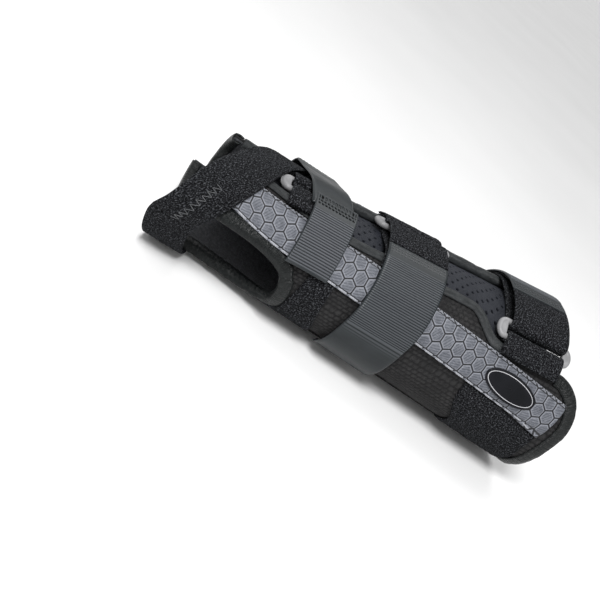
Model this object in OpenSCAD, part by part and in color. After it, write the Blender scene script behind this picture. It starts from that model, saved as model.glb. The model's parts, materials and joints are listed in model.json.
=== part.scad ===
// Wrap-around wrist splint for a right hand, lying on its palm side.
// +X runs from the fingers to the elbow, -Y is the thumb side, +Z the back of the hand.
// The origin lies on the flat palm face, under the wrist crease.
// Places on the sleeve are given as (x, a, off): a is the angle round the arm, 0 at the thumb
// side, 90 at the back of the hand and 180 at the little finger's side, and off is the height
// above the lining's inner surface.

/* [Sleeve] */
// Length from the wrist crease to the elbow end
forearm_len = 157; // [155:1:160]
// Length from the wrist crease to the finger end of the palm panel
palm_len = 74; // [72:1:78]
// Length from the wrist crease to the finger end of the side panels
side_len = 66; // [64:1:68]
// Half the inner width at the wrist
wrist_half_w = 38; // [36:0.5:40]
// Half the inner width at the elbow end
elbow_half_w = 44.5; // [42:0.5:47]
// How much wider each side is at the knuckles than at the wrist
hand_flare = 8; // [6:0.5:10]
// Height of the inner top at the wrist
wrist_top = 60.5; // [59:0.5:63]
// Rise of the top line for each millimetre towards the elbow
dorsal_slope = 0.167; // [0.15:0.005:0.18]
// Fall of the top line for each millimetre towards the fingers
hand_slope = 0.11; // [0.1:0.01:0.13]
// Height of the inner palm side above the table
bottom_z = 6.5; // [6.3:0.1:7]

/* [Panels] */
// Angle of the side panels' edge on the back of the arm
edge_a = 62; // [60:1:63]
// Angle of the thumb panel's edge under the elbow ring
elbow_edge_a = 42; // [40:1:43]
// Thickness of the terry lining
liner_t = 1.2; // [1:0.1:1.2]
// Thickness of the outer mesh panels
panel_t = 1.5; // [1.2:0.1:1.5]
// Thickness of the edge tape
tape_t = 0.6; // [0.5:0.1:0.6]
// Width of the edge tape on each face
tape_w = 4; // [3.5:0.5:4]
// Thickness of the neoprene tongue
tongue_t = 2; // [1.5:0.1:2]

/* [Stays] */
// Width of the patterned covers over the side stays
cover_w = 20; // [19:0.5:20]
// Width of the side stays
side_stay_w = 11; // [10:0.5:12]
// Width of the aluminium palm stay
palm_stay_w = 25; // [22:1:25]
// Thickness of the aluminium palm stay
palm_stay_t = 1.5; // [1.2:0.1:1.5]
// Length of the aluminium palm stay
palm_stay_len = 188; // [170:1:190]

/* [Straps] */
// Width of the two forearm straps
wide_w = 35; // [33:0.5:36]
// Width of the hand and wrist straps
narrow_w = 24; // [22:0.5:25]
// Thickness of the straps
strap_t = 1.4; // [1.2:0.1:1.4]
// Thickness of the hook sheets under the tabs
hook_t = 0.6; // [0.5:0.1:0.7]
// Radius of the round bar that the rings are bent from
ring_r = 1.6; // [1.5:0.1:1.7]
// Distance between the two bars of a ring
ring_gap = 9; // [9:0.1:9.5]

/* [Hidden] */

clear = 0.3;
volar_power = 0.75;
flare_len = 90;
seam_a = -23;
corner_x = 133;
seam_gap = 0.4;
// Layer heights above the lining's inner surface
panel_in = liner_t + clear;
panel_out = panel_in + panel_t;
tape_out = panel_out + clear + tape_t;
tape_in = -clear - tape_t;
tongue_out = tape_in - clear;
patch_in = panel_out + clear;
patch_out = patch_in + 0.9;
stay_in = panel_out + 0.6;
stay_out = stay_in + 0.9;
cover_in = stay_out + clear;
cover_out = cover_in + 0.8;
over_panel = patch_out + clear;
over_cover = cover_out + 0.4;
// Thumb opening: middle angle, half height in degrees and depth
hole_a = seam_a;
hole_half = 45;
hole_depth = 52;
// Strap places along the arm
hand_x = -20;
hand_ring_a = 168;
wrist_ring_a = 77;
middle_ring_a = 110;
forearm_ring_a = 49.5;
wrist_x = -24;
middle_x = 38;
forearm_x = 115;

function ease(t) = let (c = min(1, max(0, t))) c * c * (3 - 2 * c);
function mix(p, q, t) = p + (q - p) * t;
function powered(v, p) = sign(v) * pow(abs(v), p);
function unit(v) = v / norm(v);
function half_w(x) = wrist_half_w
    + (x >= 0 ? (elbow_half_w - wrist_half_w) * x / forearm_len : hand_flare * ease(-x / flare_len));
function top_z(x) = wrist_top + x * (x >= 0 ? dorsal_slope : hand_slope);
function skin(x, a, off) =
    let (hh = (top_z(x) - bottom_z) / 2, p = sin(a) < 0 ? volar_power : 1)
    [x, -(half_w(x) + off) * powered(cos(a), p), bottom_z + hh + (hh + off) * powered(sin(a), p)];
// Millimetres round the arm for one degree
function per_deg(x, a, off = 0) = norm(skin(x, a + 1, off) - skin(x, a - 1, off)) / 2;
// The angle of the same place on the thumb side
function side(a) = a > 90 ? 180 - a : a;

// Middle angle of the stay covers and half their height in degrees
function cover_a(x) = 36 - (x >= 0 ? 0.168 * x : -0.0042 * x * x);
function cover_half(x) = cover_w / 2 / per_deg(x, cover_a(x));
// Lowest height that a strap may have: over the cover or over the panel
function lift(x, a) =
    let (d = abs(side(a) - cover_a(x)) * per_deg(x, cover_a(x)) - cover_w / 2)
    mix(over_cover, over_panel, ease(d / 5 - 0.1));

// Edges of the panels
function rounded_end(x) = let (t = max(0, x - corner_x) / (forearm_len - corner_x)) sqrt(max(0, 1 - t * t));
function radial_edge(x) = (edge_a - (edge_a - elbow_edge_a) * ease((x - 75) / 22)) * rounded_end(x)
    + 12 * ease((-10 - x) / 45);
function ulnar_edge(x) = edge_a * rounded_end(x) - 22 * ease((-10 - x) / 45);
// The elbow end's corners are rounded from corner_x on, at g from 0 to 90
function elbow_x(g) = corner_x + (forearm_len - corner_x) * sin(g);
// The thumb opening is a rounded notch, [x, angle] at g from 0, its root, to 90, its mouth
function hole_x(g) = hole_depth * pow(cos(g), 1.25) - side_len;
function hole_span(x) = hole_half
    * pow(max(0, 1 - pow(max(0, (x + side_len) / hole_depth), 1.6)), 1 / 3);
function radial_low(x) = max(hole_a + hole_span(x), seam_a + seam_gap);
function volar_high(x) = min(hole_a - hole_span(x), seam_a - seam_gap);

// A closed sheet between two grids of points
module shell(inner, outer) {
    ni = len(inner) - 1;
    nj = len(inner[0]) - 1;
    n = (ni + 1) * (nj + 1);
    function at(s, i, j) = s * n + i * (nj + 1) + j;
    function pair(p, q, r, s) = [[p, q, r], [p, r, s]];
    mi = floor(ni / 2);
    mj = floor(nj / 2);
    up = cross(outer[mi + 1][mj] - outer[mi][mj], outer[mi][mj + 1] - outer[mi][mj])
        * (outer[mi][mj] - inner[mi][mj]);
    faces = concat(
        [for (i = [0:ni - 1], j = [0:nj - 1], f = concat(
            pair(at(1, i, j), at(1, i + 1, j), at(1, i + 1, j + 1), at(1, i, j + 1)),
            pair(at(0, i, j), at(0, i, j + 1), at(0, i + 1, j + 1), at(0, i + 1, j)))) f],
        [for (i = [0:ni - 1], f = concat(
            pair(at(1, i + 1, 0), at(1, i, 0), at(0, i, 0), at(0, i + 1, 0)),
            pair(at(1, i, nj), at(1, i + 1, nj), at(0, i + 1, nj), at(0, i, nj)))) f],
        [for (j = [0:nj - 1], f = concat(
            pair(at(1, 0, j), at(1, 0, j + 1), at(0, 0, j + 1), at(0, 0, j)),
            pair(at(1, ni, j + 1), at(1, ni, j), at(0, ni, j), at(0, ni, j + 1)))) f]);
    polyhedron(
        points = concat([for (row = inner, p = row) p], [for (row = outer, p = row) p]),
        faces = up > 0 ? [for (f = faces) [f[2], f[1], f[0]]] : faces);
}

// A sheet on the sleeve between two edges, given for each place along the arm
module sheet(xs, low, high, steps, off0, off1) {
    function grid(off) = [for (x = xs) [for (j = [0:steps]) skin(x, mix(low(x), high(x), j / steps), off)]];
    shell(grid(off0), grid(off1));
}

// A ribbon that follows a path round the arm. Each point of the path is
// [angle, height, middle x, width], and the ribbon is t thick.
module ribbon(path, t) {
    last = len(path) - 1;
    function normal(i) = let (
        k = per_deg(path[i][2], path[i][0], path[i][1]),
        p = path[max(0, i - 1)],
        q = path[min(last, i + 1)],
        d = unit([(q[0] - p[0]) * k, q[1] - p[1]])) [-d[1] / k, d[0]];
    function grid(s) = [for (i = [0:last]) let (n = normal(i) * s * t / 2, p = path[i])
        [for (u = [-0.5, 0, 0.5]) skin(p[2] + u * p[3], p[0] + n[0], p[1] + n[1])]];
    shell(grid(-1), grid(1));
}

// Points of a path that turns round a bar at (a, off), with radius r
function turn(a, off, r, from, to, steps, x, w) =
    [for (i = [0:steps]) let (g = mix(from, to, i / steps), k = per_deg(x, a, off))
        [a + r * cos(g) / k, off + r * sin(g), x, w]];
// Points of a path that stays at one place along the arm, from a list of [angle, height]
function placed(pairs, x, w) = [for (p = pairs) [p[0], p[1], x, w]];

// Rings: place of the anchor bar and, towards the strap, of the strap bar. The round ends are
// filled with a web.
ring_web = 2.2;
ring_off = tongue_out + clear + strap_t + ring_r + 1.2;
high_ring_off = over_panel + strap_t + ring_r + 1.2;
anchor_t = 1.3;
loop_r = ring_r + 0.6 + anchor_t / 2;
fold_r = ring_r + 1.1 + strap_t / 2;
function strap_bar(x, a, toward, off) =
    a + toward * ring_gap / per_deg(x, a + toward * ring_gap / 2 / per_deg(x, a, off), off);

module ring(x, a, toward, off, slot) {
    b = strap_bar(x, a, toward, off);
    p = skin(x, a, off);
    q = skin(x, b, off);
    ex = unit(skin(x + 15, (a + b) / 2, off) - skin(x - 15, (a + b) / 2, off));
    flat_y = (q - p) - ((q - p) * ex) * ex;
    ey = unit(flat_y);
    ez = cross(ex, ey);
    multmatrix([[ex[0], ey[0], ez[0], p[0]], [ex[1], ey[1], ez[1], p[1]],
            [ex[2], ey[2], ez[2], p[2]], [0, 0, 0, 1]])
        for (s = [-1, 1]) {
            translate([-slot / 2, (1 + s) * ring_gap / 2, 0])
                rotate([0, 90, 0]) cylinder(r = ring_r, h = slot, $fn = 36);
            translate([s * slot / 2, ring_gap / 2, 0])
                rotate([0, 0, s * -90])
                    rotate_extrude(angle = 180, $fn = 36)
                        translate([ring_gap / 2, 0]) circle(r = ring_r, $fn = 36);
            translate([s * slot / 2, ring_gap / 2, 0])
                intersection() {
                    cylinder(r = ring_gap / 2, h = ring_web, center = true, $fn = 36);
                    translate([s * ring_gap / 2, 0, 0])
                        cube([ring_gap, 2 * ring_gap, 2 * ring_web], center = true);
                }
        }
}

// The folded tab that holds a ring: sewn from angle s to the ring's anchor bar at a
module anchor(x, a, toward, off, w, s) {
    k = per_deg(x, a, off);
    neck = a - toward * (loop_r + 0.5) / k;
    base = tape_out + clear + anchor_t / 2;
    low = max(base, off - 1.4 + anchor_t / 2);
    half = mix(s, neck, 0.5);
    step = anchor_t + clear;
    lower = [[s, base], [half, mix(base, low, 0.5)], [neck, low]];
    upper = [[neck, low + step], [half, mix(base, low, 0.5) + step], [s, base + step]];
    start = toward > 0 ? 185 : -5;
    end = toward > 0 ? 450 : -270;
    ribbon(concat(placed(lower, x, w),
        turn(a, off, loop_r, start, end, 9, x, w),
        placed(upper, x, w)), anchor_t);
}

// Folds a strap round the strap bar of a ring, from under it to over it
function fold(x, a, toward, off, w) =
    turn(strap_bar(x, a, toward, off), off, fold_r, toward > 0 ? 270 : -90, 90, 8, x, w);

// Edge tape folded over an edge. The edge is a list of [x, angle], with the panel on its right
module binding(edge) {
    last = len(edge) - 1;
    function inward(i) = let (
        p = edge[max(0, i - 1)],
        q = edge[min(last, i + 1)],
        k = per_deg(edge[i][0], edge[i][1]),
        t = unit([q[0] - p[0], (q[1] - p[1]) * k])) [t[1], -t[0] / k];
    function grid(section) = [for (s = section) [for (i = [0:last])
        let (n = inward(i)) skin(edge[i][0] + n[0] * s[0], edge[i][1] + n[1] * s[0], s[1])]];
    shell(
        grid([[tape_w, tape_in + tape_t], [-clear, tape_in + tape_t], [-clear, tape_out - tape_t],
            [tape_w, tape_out - tape_t]]),
        grid([[tape_w, tape_in], [-clear - tape_t, tape_in], [-clear - tape_t, tape_out],
            [tape_w, tape_out]]));
}

notch_xs = [for (g = [90:-9:0]) hole_x(g)];
elbow_xs = [for (g = [0:10:90]) elbow_x(g)];
radial_xs = concat(notch_xs, [-7, 0, 40, 76, 82, 88, 93, 98], elbow_xs);
volar_xs = concat([-palm_len, -70], notch_xs, [-7, 0, 80, forearm_len]);
ulnar_xs = concat([-side_len, -55, -45, -35, -25, -15, 0, 66], elbow_xs);

module radial_sheet(off0, off1)
    sheet(radial_xs, function(x) radial_low(x), function(x) radial_edge(x), 9, off0, off1);
module volar_sheet(off0, off1)
    sheet(volar_xs, function(x) -180 - seam_a + seam_gap, function(x) volar_high(x), 14, off0, off1);
module ulnar_sheet(off0, off1)
    sheet(ulnar_xs, function(x) 180 - ulnar_edge(x), function(x) 180 - seam_a - seam_gap, 9, off0, off1);

module radial_panel() color("#2b2727") radial_sheet(panel_in, panel_out);
module volar_panel() color("#2b2727") volar_sheet(panel_in, panel_out);
module ulnar_panel() color("#2b2727") ulnar_sheet(panel_in, panel_out);
module radial_liner() color("#3a3c40") radial_sheet(0, liner_t);
module volar_liner() color("#3a3c40") volar_sheet(0, liner_t);
module ulnar_liner() color("#3a3c40") ulnar_sheet(0, liner_t);

// The neoprene tongue lies under both side panels' edges
module dorsal_tongue() color("#33363f")
    sheet([-44, -25, 0, 40, 75, 98, 126], function(x) radial_edge(x) - 10, function(x) 132, 10,
        tongue_out - tongue_t, tongue_out);

corner_steps = [3, for (g = [10:10:80]) g];
notch_steps = [for (g = [0:9:81]) g, 86];
module radial_binding() color("#4a4d50")
    binding([for (x = [-60, -50, -40, -30, -20, 0, 40, 76, 82, 88, 93, 98, 115, 131]) [x, radial_edge(x)]]);
module ulnar_binding() color("#4a4d50")
    binding([for (x = [131, 66, 0, -15, -25, -35, -45, -55, -60.5]) [x, 180 - ulnar_edge(x)]]);
module ulnar_front_binding() color("#2a302f")
    binding([for (a = [141:9.8:200]) [-side_len, a]]);
module proximal_binding() color("#2a302f")
    binding(concat(
        [for (g = corner_steps) [elbow_x(g), elbow_edge_a * cos(g)]],
        [for (a = [0:-9:-180]) [forearm_len, a]],
        [for (i = [len(corner_steps) - 1:-1:0], g = corner_steps[i]) [elbow_x(g), -180 - edge_a * cos(g)]]));
module thumb_binding() color("#2a302f")
    binding(concat(
        [for (i = [len(notch_steps) - 1:-1:0], g = notch_steps[i]) [hole_x(g), hole_a - hole_span(hole_x(g))]],
        [for (i = [1:len(notch_steps) - 1], g = notch_steps[i]) [hole_x(g), hole_a + hole_span(hole_x(g))]],
        [for (a = [24:8:72]) [-side_len, a]]));
module palm_binding() color("#2a302f")
    binding([for (a = [-155:8:-71]) [-palm_len, a]]);

// A stay or its cover, along the middle angle of a side. inner_off gives the height of the
// inner face for v from 0 to 1 across the width.
module strip(xs, w, mirrored, inner_off, off1, steps) {
    function angle(x, v) = let (a = cover_a(x) + (v - 0.5) * w / per_deg(x, cover_a(x)))
        mirrored ? 180 - a : a;
    shell(
        [for (x = xs) [for (j = [0:steps]) skin(x, angle(x, j / steps), inner_off(j / steps))]],
        [for (x = xs) [for (j = [0:steps]) skin(x, angle(x, j / steps), off1)]]);
}
function channel(v) = abs(v - 0.5) > 0.37 ? panel_out + clear : cover_in;

radial_cover_xs = [-60.5, -50, -40, -28, -15, 0, 36, 73, 110, 146];
ulnar_cover_xs = [8, 42, 76, 110, 146];
module radial_stay_cover() color("#8f929c")
    strip(radial_cover_xs, cover_w, false, function(v) channel(v), cover_out, 10);
module ulnar_stay_cover() color("#8f929c")
    strip(ulnar_cover_xs, cover_w, true, function(v) channel(v), cover_out, 10);
module radial_stay() color("#d8d8d0")
    strip([-15, 0, 36, 73, 110, 140], side_stay_w, false, function(v) stay_in, stay_out, 4);
module ulnar_stay() color("#d8d8d0")
    strip([12, 42, 76, 110, 140], side_stay_w, true, function(v) stay_in, stay_out, 4);

// The palm stay's pocket is flat underneath and open at the elbow end
pocket_x = -45;
pocket_len = 195;
pocket_h = 3.1;
pocket_wall = 0.6;
module volar_stay_pocket() color("#2b2727")
    difference() {
        translate([pocket_x, -palm_stay_w / 2 - 4, 0]) cube([pocket_len, palm_stay_w + 8, pocket_h]);
        translate([pocket_x + 3, -palm_stay_w / 2 - clear, pocket_wall])
            cube([pocket_len, palm_stay_w + 2 * clear, palm_stay_t + 2 * clear]);
    }
module volar_stay() color("#b8bbbf")
    translate([pocket_x + 4, -palm_stay_w / 2, pocket_wall + clear])
        linear_extrude(palm_stay_t)
            union() {
                translate([palm_stay_w / 2, palm_stay_w / 2]) circle(d = palm_stay_w, $fn = 64);
                translate([palm_stay_w / 2, 0]) square([palm_stay_len - palm_stay_w, palm_stay_w]);
                translate([palm_stay_len - palm_stay_w / 2, palm_stay_w / 2])
                    circle(d = palm_stay_w, $fn = 64);
            }

// A plain oval badge, flat on the cover
badge_x = 113;
badge_len = 33;
badge_w = 15;
module badge() color("#111214") {
    a = cover_a(badge_x);
    p = skin(badge_x, a, over_cover);
    ex = unit(skin(badge_x + 15, cover_a(badge_x + 15), over_cover)
        - skin(badge_x - 15, cover_a(badge_x - 15), over_cover));
    across = skin(badge_x, a + 5, over_cover) - skin(badge_x, a - 5, over_cover);
    ey = unit(across - (across * ex) * ex);
    ez = cross(ex, ey);
    multmatrix([[ex[0], ey[0], ez[0], p[0]], [ex[1], ey[1], ez[1], p[1]],
            [ex[2], ey[2], ez[2], p[2]], [0, 0, 0, 1]])
        linear_extrude(0.9)
            polygon([for (g = [0:10:350]) [badge_len / 2 * cos(g), badge_w / 2 * sin(g)]]);
}

module wrist_loop_patch() color("#17171a")
    sheet([-9, -4.5, 0, 6], function(x) -58, function(x) 15, 12, patch_in, patch_out);
module forearm_loop_patch() color("#17171a")
    sheet([96, 105, 118, 134, 148], function(x) -58, function(x) cover_a(x) - cover_half(x) - 3, 8,
        patch_in, patch_out);

// Rings: [middle x, angle of the anchor bar, direction of the strap bar, slot length]
module hand_ring() color("#c5c5ca") ring(hand_x, hand_ring_a, -1, high_ring_off, narrow_w + 2);
module wrist_ring() color("#c5c5ca") ring(wrist_x, wrist_ring_a, 1, ring_off, narrow_w + 2);
module middle_ring() color("#c5c5ca") ring(middle_x, middle_ring_a, -1, ring_off, wide_w + 2);
module forearm_ring() color("#c5c5ca") ring(forearm_x, forearm_ring_a, 1, ring_off, wide_w + 2);

module hand_ring_anchor() color("#17171a")
    anchor(hand_x, hand_ring_a, -1, high_ring_off, narrow_w, 200);
module wrist_ring_anchor() color("#17171a")
    anchor(wrist_x, wrist_ring_a, 1, ring_off, narrow_w, 59.5);
module middle_ring_anchor() color("#17171a")
    anchor(middle_x, middle_ring_a, -1, ring_off, wide_w, 129.5);
module forearm_ring_anchor() color("#17171a")
    anchor(forearm_x, forearm_ring_a, 1, ring_off, wide_w, 35.5);

// Web strap: sewn under the palm, through the web of the thumb, over the back of the hand
web_turn_x = -79;
function web_x(a) = a > 0
    ? web_turn_x + (hand_x - web_turn_x) * pow(min(1, a / strap_bar(hand_x, hand_ring_a, -1, high_ring_off)), 1.4)
    : web_turn_x + 0.0018 * a * a;
web_path = [[-104, 5], [-90, 5], [-76, 5], [-62, 5], [-48, 2.4], [-34, -0.5], [-20, -2.5], [-5, -1.6],
    [8, 2], [20, 5.6], [32, 6.8], [45, 6.8], [58, 6.8], [70, 6.4], [82, 5.8], [94, 5.8],
    [106, 5.4], [118, 5.2], [130, 5.2], [140, 5.3]];
module web_strap() color("#17171a")
    ribbon(concat([for (p = web_path) [p[0], p[1], web_x(p[0]), 22 + 4 * exp(-pow((p[0] - 55) / 28, 2))]],
        fold(hand_x, hand_ring_a, -1, high_ring_off, 22),
        placed([[142, 11.8], [135, 10.4]], hand_x, 22)), strap_t);
module hand_strap_return() color("#4b5054")
    ribbon([for (p = [[134.2, 10.2], [127, 8.6], [120, 7.5], [108, 7.2], [98, 8], [90, 8.5], [80, 8.5],
        [72, 8.5], [66.5, 8.5]]) [p[0], p[1], mix(-13, hand_x, (p[0] - 66.5) / 67.7), narrow_w]], strap_t);
hand_tab_path = [[65.8, 8.5], [60, 8.7], [55, 8.5], [49, 7.7], [42, 7.5], [34, 7.5], [26, 7.5], [17, 7.4]];
module hand_tab() color("#50555a") ribbon(placed(hand_tab_path, -12, narrow_w), strap_t);
module hand_tab_hook() color("#101012") hook(hand_tab_path, -12, narrow_w, 3);

// The hook sheet lies under a tab's path from its given point on
module hook(path, x, w, first) {
    drop = strap_t / 2 + 0.1 + hook_t / 2;
    ribbon(placed([for (i = [first:len(path) - 1]) [path[i][0], path[i][1] - drop]], x, w - 2), hook_t);
}

// Wrist strap: sewn to the tongue, through the wrist ring and back on itself
module wrist_strap() color("#17171a")
    ribbon(concat(placed([[113, -0.1], [105, -0.1], [98, -0.1]], wrist_x, narrow_w),
        fold(wrist_x, wrist_ring_a, 1, ring_off, narrow_w),
        placed([[95, 5.2], [99, 3.2], [104, 2.1], [113, 1.9]], wrist_x, narrow_w)), strap_t);

// Middle strap: sewn to the thumb panel, through the ring at the little finger's side and back
module middle_strap() color("#17171a")
    ribbon(concat(placed([[51, 5.2], [57, 5.2], [64, 5], [72, 3.4], [82, 1.2], [92, 0]], middle_x, wide_w),
        fold(middle_x, middle_ring_a, -1, ring_off, wide_w),
        placed([[88, 6.7], [80, 6.7], [73, 6.7]], middle_x, wide_w)), strap_t);
middle_tab_path = [[72.2, 6.8], [66, 7.4], [58, 7.5], [50, 7.6], [42, 7.6], [34, 7.6], [26, 7.6],
    [18, 7.6], [10, 7.4], [2, 6.8], [-8, 6.2], [-20, 6], [-35, 6], [-50, 6]];
module middle_tab() color("#4b5054") ribbon(placed(middle_tab_path, middle_x, wide_w), strap_t);
module middle_tab_hook() color("#101012") hook(middle_tab_path, middle_x, wide_w, 1);

// Forearm strap: sewn to the little finger's side, through the ring on the thumb side and back
module forearm_strap() color("#17171a")
    ribbon(concat(placed([[128, 5.2], [119, 5.1], [110, 3.6], [98, 1.4], [86, 0.1], [76, -0.1], [68, -0.1]],
            forearm_x, wide_w),
        fold(forearm_x, forearm_ring_a, 1, ring_off, wide_w),
        placed([[70, 6.7], [80, 6.7], [90.5, 6.7]], forearm_x, wide_w)), strap_t);
forearm_tab_path = [[91.3, 6.8], [98, 7.1], [106, 7.5], [115, 7.7], [125, 7.7], [135, 7.7], [145, 7.7],
    [155, 7.7], [165, 7.7], [175, 7.7]];
module forearm_tab() color("#50555a") ribbon(placed(forearm_tab_path, forearm_x, wide_w), strap_t);
module forearm_tab_hook() color("#101012") hook(forearm_tab_path, forearm_x, wide_w, 2);

radial_panel();
volar_panel();
ulnar_panel();
radial_liner();
volar_liner();
ulnar_liner();
dorsal_tongue();
radial_binding();
ulnar_binding();
proximal_binding();
thumb_binding();
palm_binding();
ulnar_front_binding();
radial_stay();
ulnar_stay();
radial_stay_cover();
ulnar_stay_cover();
volar_stay_pocket();
volar_stay();
badge();
wrist_loop_patch();
forearm_loop_patch();
web_strap();
hand_strap_return();
hand_tab();
hand_tab_hook();
hand_ring();
hand_ring_anchor();
wrist_strap();
wrist_ring();
wrist_ring_anchor();
middle_strap();
middle_tab();
middle_tab_hook();
middle_ring();
middle_ring_anchor();
forearm_strap();
forearm_tab();
forearm_tab_hook();
forearm_ring();
forearm_ring_anchor();
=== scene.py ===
"""Looks of the wrist splint: woven and brushed fabrics, perforated neoprene, ribbed straps and rings.

Lengths are in millimetres until a mesh is made, and the frame is the CAD's: +X to the elbow, -Y the
thumb side, +Z the back of the hand. A place on the sleeve is (x, a, off), where a is the angle round
the arm, 0 at the thumb side and 90 at the back of the hand, and off is the height above the lining's
inner surface.
"""

import json
import math

import bmesh
import bpy
import numpy as np
from mathutils import Matrix, Vector


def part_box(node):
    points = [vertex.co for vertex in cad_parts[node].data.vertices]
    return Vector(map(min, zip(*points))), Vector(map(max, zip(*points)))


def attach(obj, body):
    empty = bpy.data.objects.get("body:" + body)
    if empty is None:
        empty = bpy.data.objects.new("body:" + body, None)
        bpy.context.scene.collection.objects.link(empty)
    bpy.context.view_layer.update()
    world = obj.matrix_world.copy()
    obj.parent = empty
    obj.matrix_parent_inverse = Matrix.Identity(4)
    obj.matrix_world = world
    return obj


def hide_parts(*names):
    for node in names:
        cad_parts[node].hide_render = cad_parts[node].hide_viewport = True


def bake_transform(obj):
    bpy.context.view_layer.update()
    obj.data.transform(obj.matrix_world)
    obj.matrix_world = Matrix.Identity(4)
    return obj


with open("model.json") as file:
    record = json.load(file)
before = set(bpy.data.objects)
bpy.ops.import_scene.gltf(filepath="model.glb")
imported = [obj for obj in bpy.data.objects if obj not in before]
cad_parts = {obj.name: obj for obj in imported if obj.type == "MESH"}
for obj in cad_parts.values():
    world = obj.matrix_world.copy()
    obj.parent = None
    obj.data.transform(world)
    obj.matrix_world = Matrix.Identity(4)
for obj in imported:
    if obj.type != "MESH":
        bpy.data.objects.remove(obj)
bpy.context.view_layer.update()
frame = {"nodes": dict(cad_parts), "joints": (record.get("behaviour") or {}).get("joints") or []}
MM = 1000.0
join, stack = np.concatenate, np.stack


def box(node):
    """Lowest and highest corner of a CAD node, in mm."""
    low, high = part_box(node)
    return np.array(low) * MM, np.array(high) * MM


def middle_x(node):
    low, high = box(node)
    return (low[0] + high[0]) / 2


# ---- the sleeve's shape, as in the CAD

FOREARM = box("volar_panel")[1][0]
PALM = -box("volar_panel")[0][0]
SIDE = -box("radial_panel")[0][0]
WRIST_HALF_W, ELBOW_HALF_W, HAND_FLARE, FLARE_LEN = 38, 44.5, 8, 90
WRIST_TOP, DORSAL_SLOPE, HAND_SLOPE, BOTTOM_Z = 60.5, 0.167, 0.11, 6.5
EDGE_A, ELBOW_EDGE_A, CORNER_X = 62, 42, 133
SEAM_A, HOLE_HALF, HOLE_DEPTH = -23, 45, 52
COVER_W = 20
# Heights above the lining's inner surface
LINER_OUT, PANEL_IN, PANEL_OUT = 1.2, 1.5, 3.0
TAPE_OUT = 3.9
TONGUE_OUT, TONGUE_T = -1.2, 2.0
PATCH_IN, PATCH_OUT = 3.3, 4.2
COVER_IN, COVER_OUT, OVER_PANEL, OVER_COVER = 4.8, 5.6, 4.5, 6.0
STRAP_T, HOOK_T, ANCHOR_T = 1.4, 0.6, 1.3
RING_R, RING_GAP = 1.6, 9
RING_OFF = TONGUE_OUT + 0.3 + STRAP_T + RING_R + 1.2
HIGH_RING_OFF = OVER_PANEL + STRAP_T + RING_R + 1.2
HAND_X = middle_x("hand_ring")
WRIST_X = middle_x("wrist_ring")
MIDDLE_X = middle_x("middle_ring")
FOREARM_X = middle_x("forearm_ring")
WIDE_W, NARROW_W = 35, 24
HAND_RING = (HAND_X, 168, -1, HIGH_RING_OFF)
WRIST_RING = (WRIST_X, 77, 1, RING_OFF)
MIDDLE_RING = (MIDDLE_X, 110, -1, RING_OFF)
FOREARM_RING = (FOREARM_X, 49.5, 1, RING_OFF)


def ease(t):
    c = np.clip(t, 0, 1)
    return c * c * (3 - 2 * c)


def mix(p, q, t):
    return p + (q - p) * t


def powered(v, p):
    return np.sign(v) * np.abs(v) ** p


def unit(v):
    return v / np.linalg.norm(v, axis=-1, keepdims=True)


def spacing(points, axis=0):
    """Distances between neighbours in a line or grid of points."""
    return np.linalg.norm(np.diff(points, axis=axis), axis=-1)


def sums(steps):
    """Running sums, from 0."""
    return join([[0], np.cumsum(steps)])


def points_of(*parts):
    """Points or places from their x, y and z or their x and angle."""
    return stack(np.broadcast_arrays(*parts), -1)


def half_w(x):
    past_wrist = (ELBOW_HALF_W - WRIST_HALF_W) * x / FOREARM
    return WRIST_HALF_W + np.where(x >= 0, past_wrist, HAND_FLARE * ease(-x / FLARE_LEN))


def skin(x, a, off):
    """The point at x along the arm, a degrees round it and off above the lining."""
    x, a, off = np.broadcast_arrays(*(np.asarray(q, float) for q in (x, a, off)))
    s, c = np.sin(np.radians(a)), np.cos(np.radians(a))
    p = np.where(s < 0, 0.75, 1)
    half_h = (WRIST_TOP + x * np.where(x >= 0, DORSAL_SLOPE, HAND_SLOPE) - BOTTOM_Z) / 2
    y = -(half_w(x) + off) * powered(c, p)
    z = BOTTOM_Z + half_h + (half_h + off) * powered(s, p)
    return points_of(x, y, z)


def per_deg(x, a, off=0):
    """Millimetres round the arm for one degree."""
    return np.linalg.norm(skin(x, a + 1, off) - skin(x, a - 1, off), axis=-1) / 2


def cover_a(x):
    """The middle angle of the stay covers."""
    x = np.asarray(x, float)
    return 36 - np.where(x >= 0, 0.168 * x, -0.0042 * x * x)


def cover_half(x):
    return COVER_W / 2 / per_deg(x, cover_a(x))


def rounded_end(x):
    t = np.maximum(0, x - CORNER_X) / (FOREARM - CORNER_X)
    return np.sqrt(np.maximum(0, 1 - t * t))


def radial_edge(x):
    x = np.asarray(x, float)
    edge = EDGE_A - (EDGE_A - ELBOW_EDGE_A) * ease((x - 75) / 22)
    return edge * rounded_end(x) + 12 * ease((-10 - x) / 45)


def ulnar_edge(x):
    x = np.asarray(x, float)
    return EDGE_A * rounded_end(x) - 22 * ease((-10 - x) / 45)


def elbow_x(g):
    return CORNER_X + (FOREARM - CORNER_X) * np.sin(np.radians(g))


def hole_x(g):
    """The thumb notch's edge at g degrees, from 0 at its root to 90 at its mouth."""
    return HOLE_DEPTH * np.maximum(0, np.cos(np.radians(g))) ** 1.25 - SIDE


def hole_span(x):
    t = np.maximum(0, (x + SIDE) / HOLE_DEPTH)
    return HOLE_HALF * np.maximum(0, 1 - t ** 1.6) ** (1 / 3)


def strap_bar(x, a, toward, off):
    """The angle of a ring's strap bar, where its anchor bar is at a."""
    middle = a + toward * RING_GAP / 2 / per_deg(x, a, off)
    return a + toward * RING_GAP / per_deg(x, middle, off)


# ---- meshes


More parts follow.
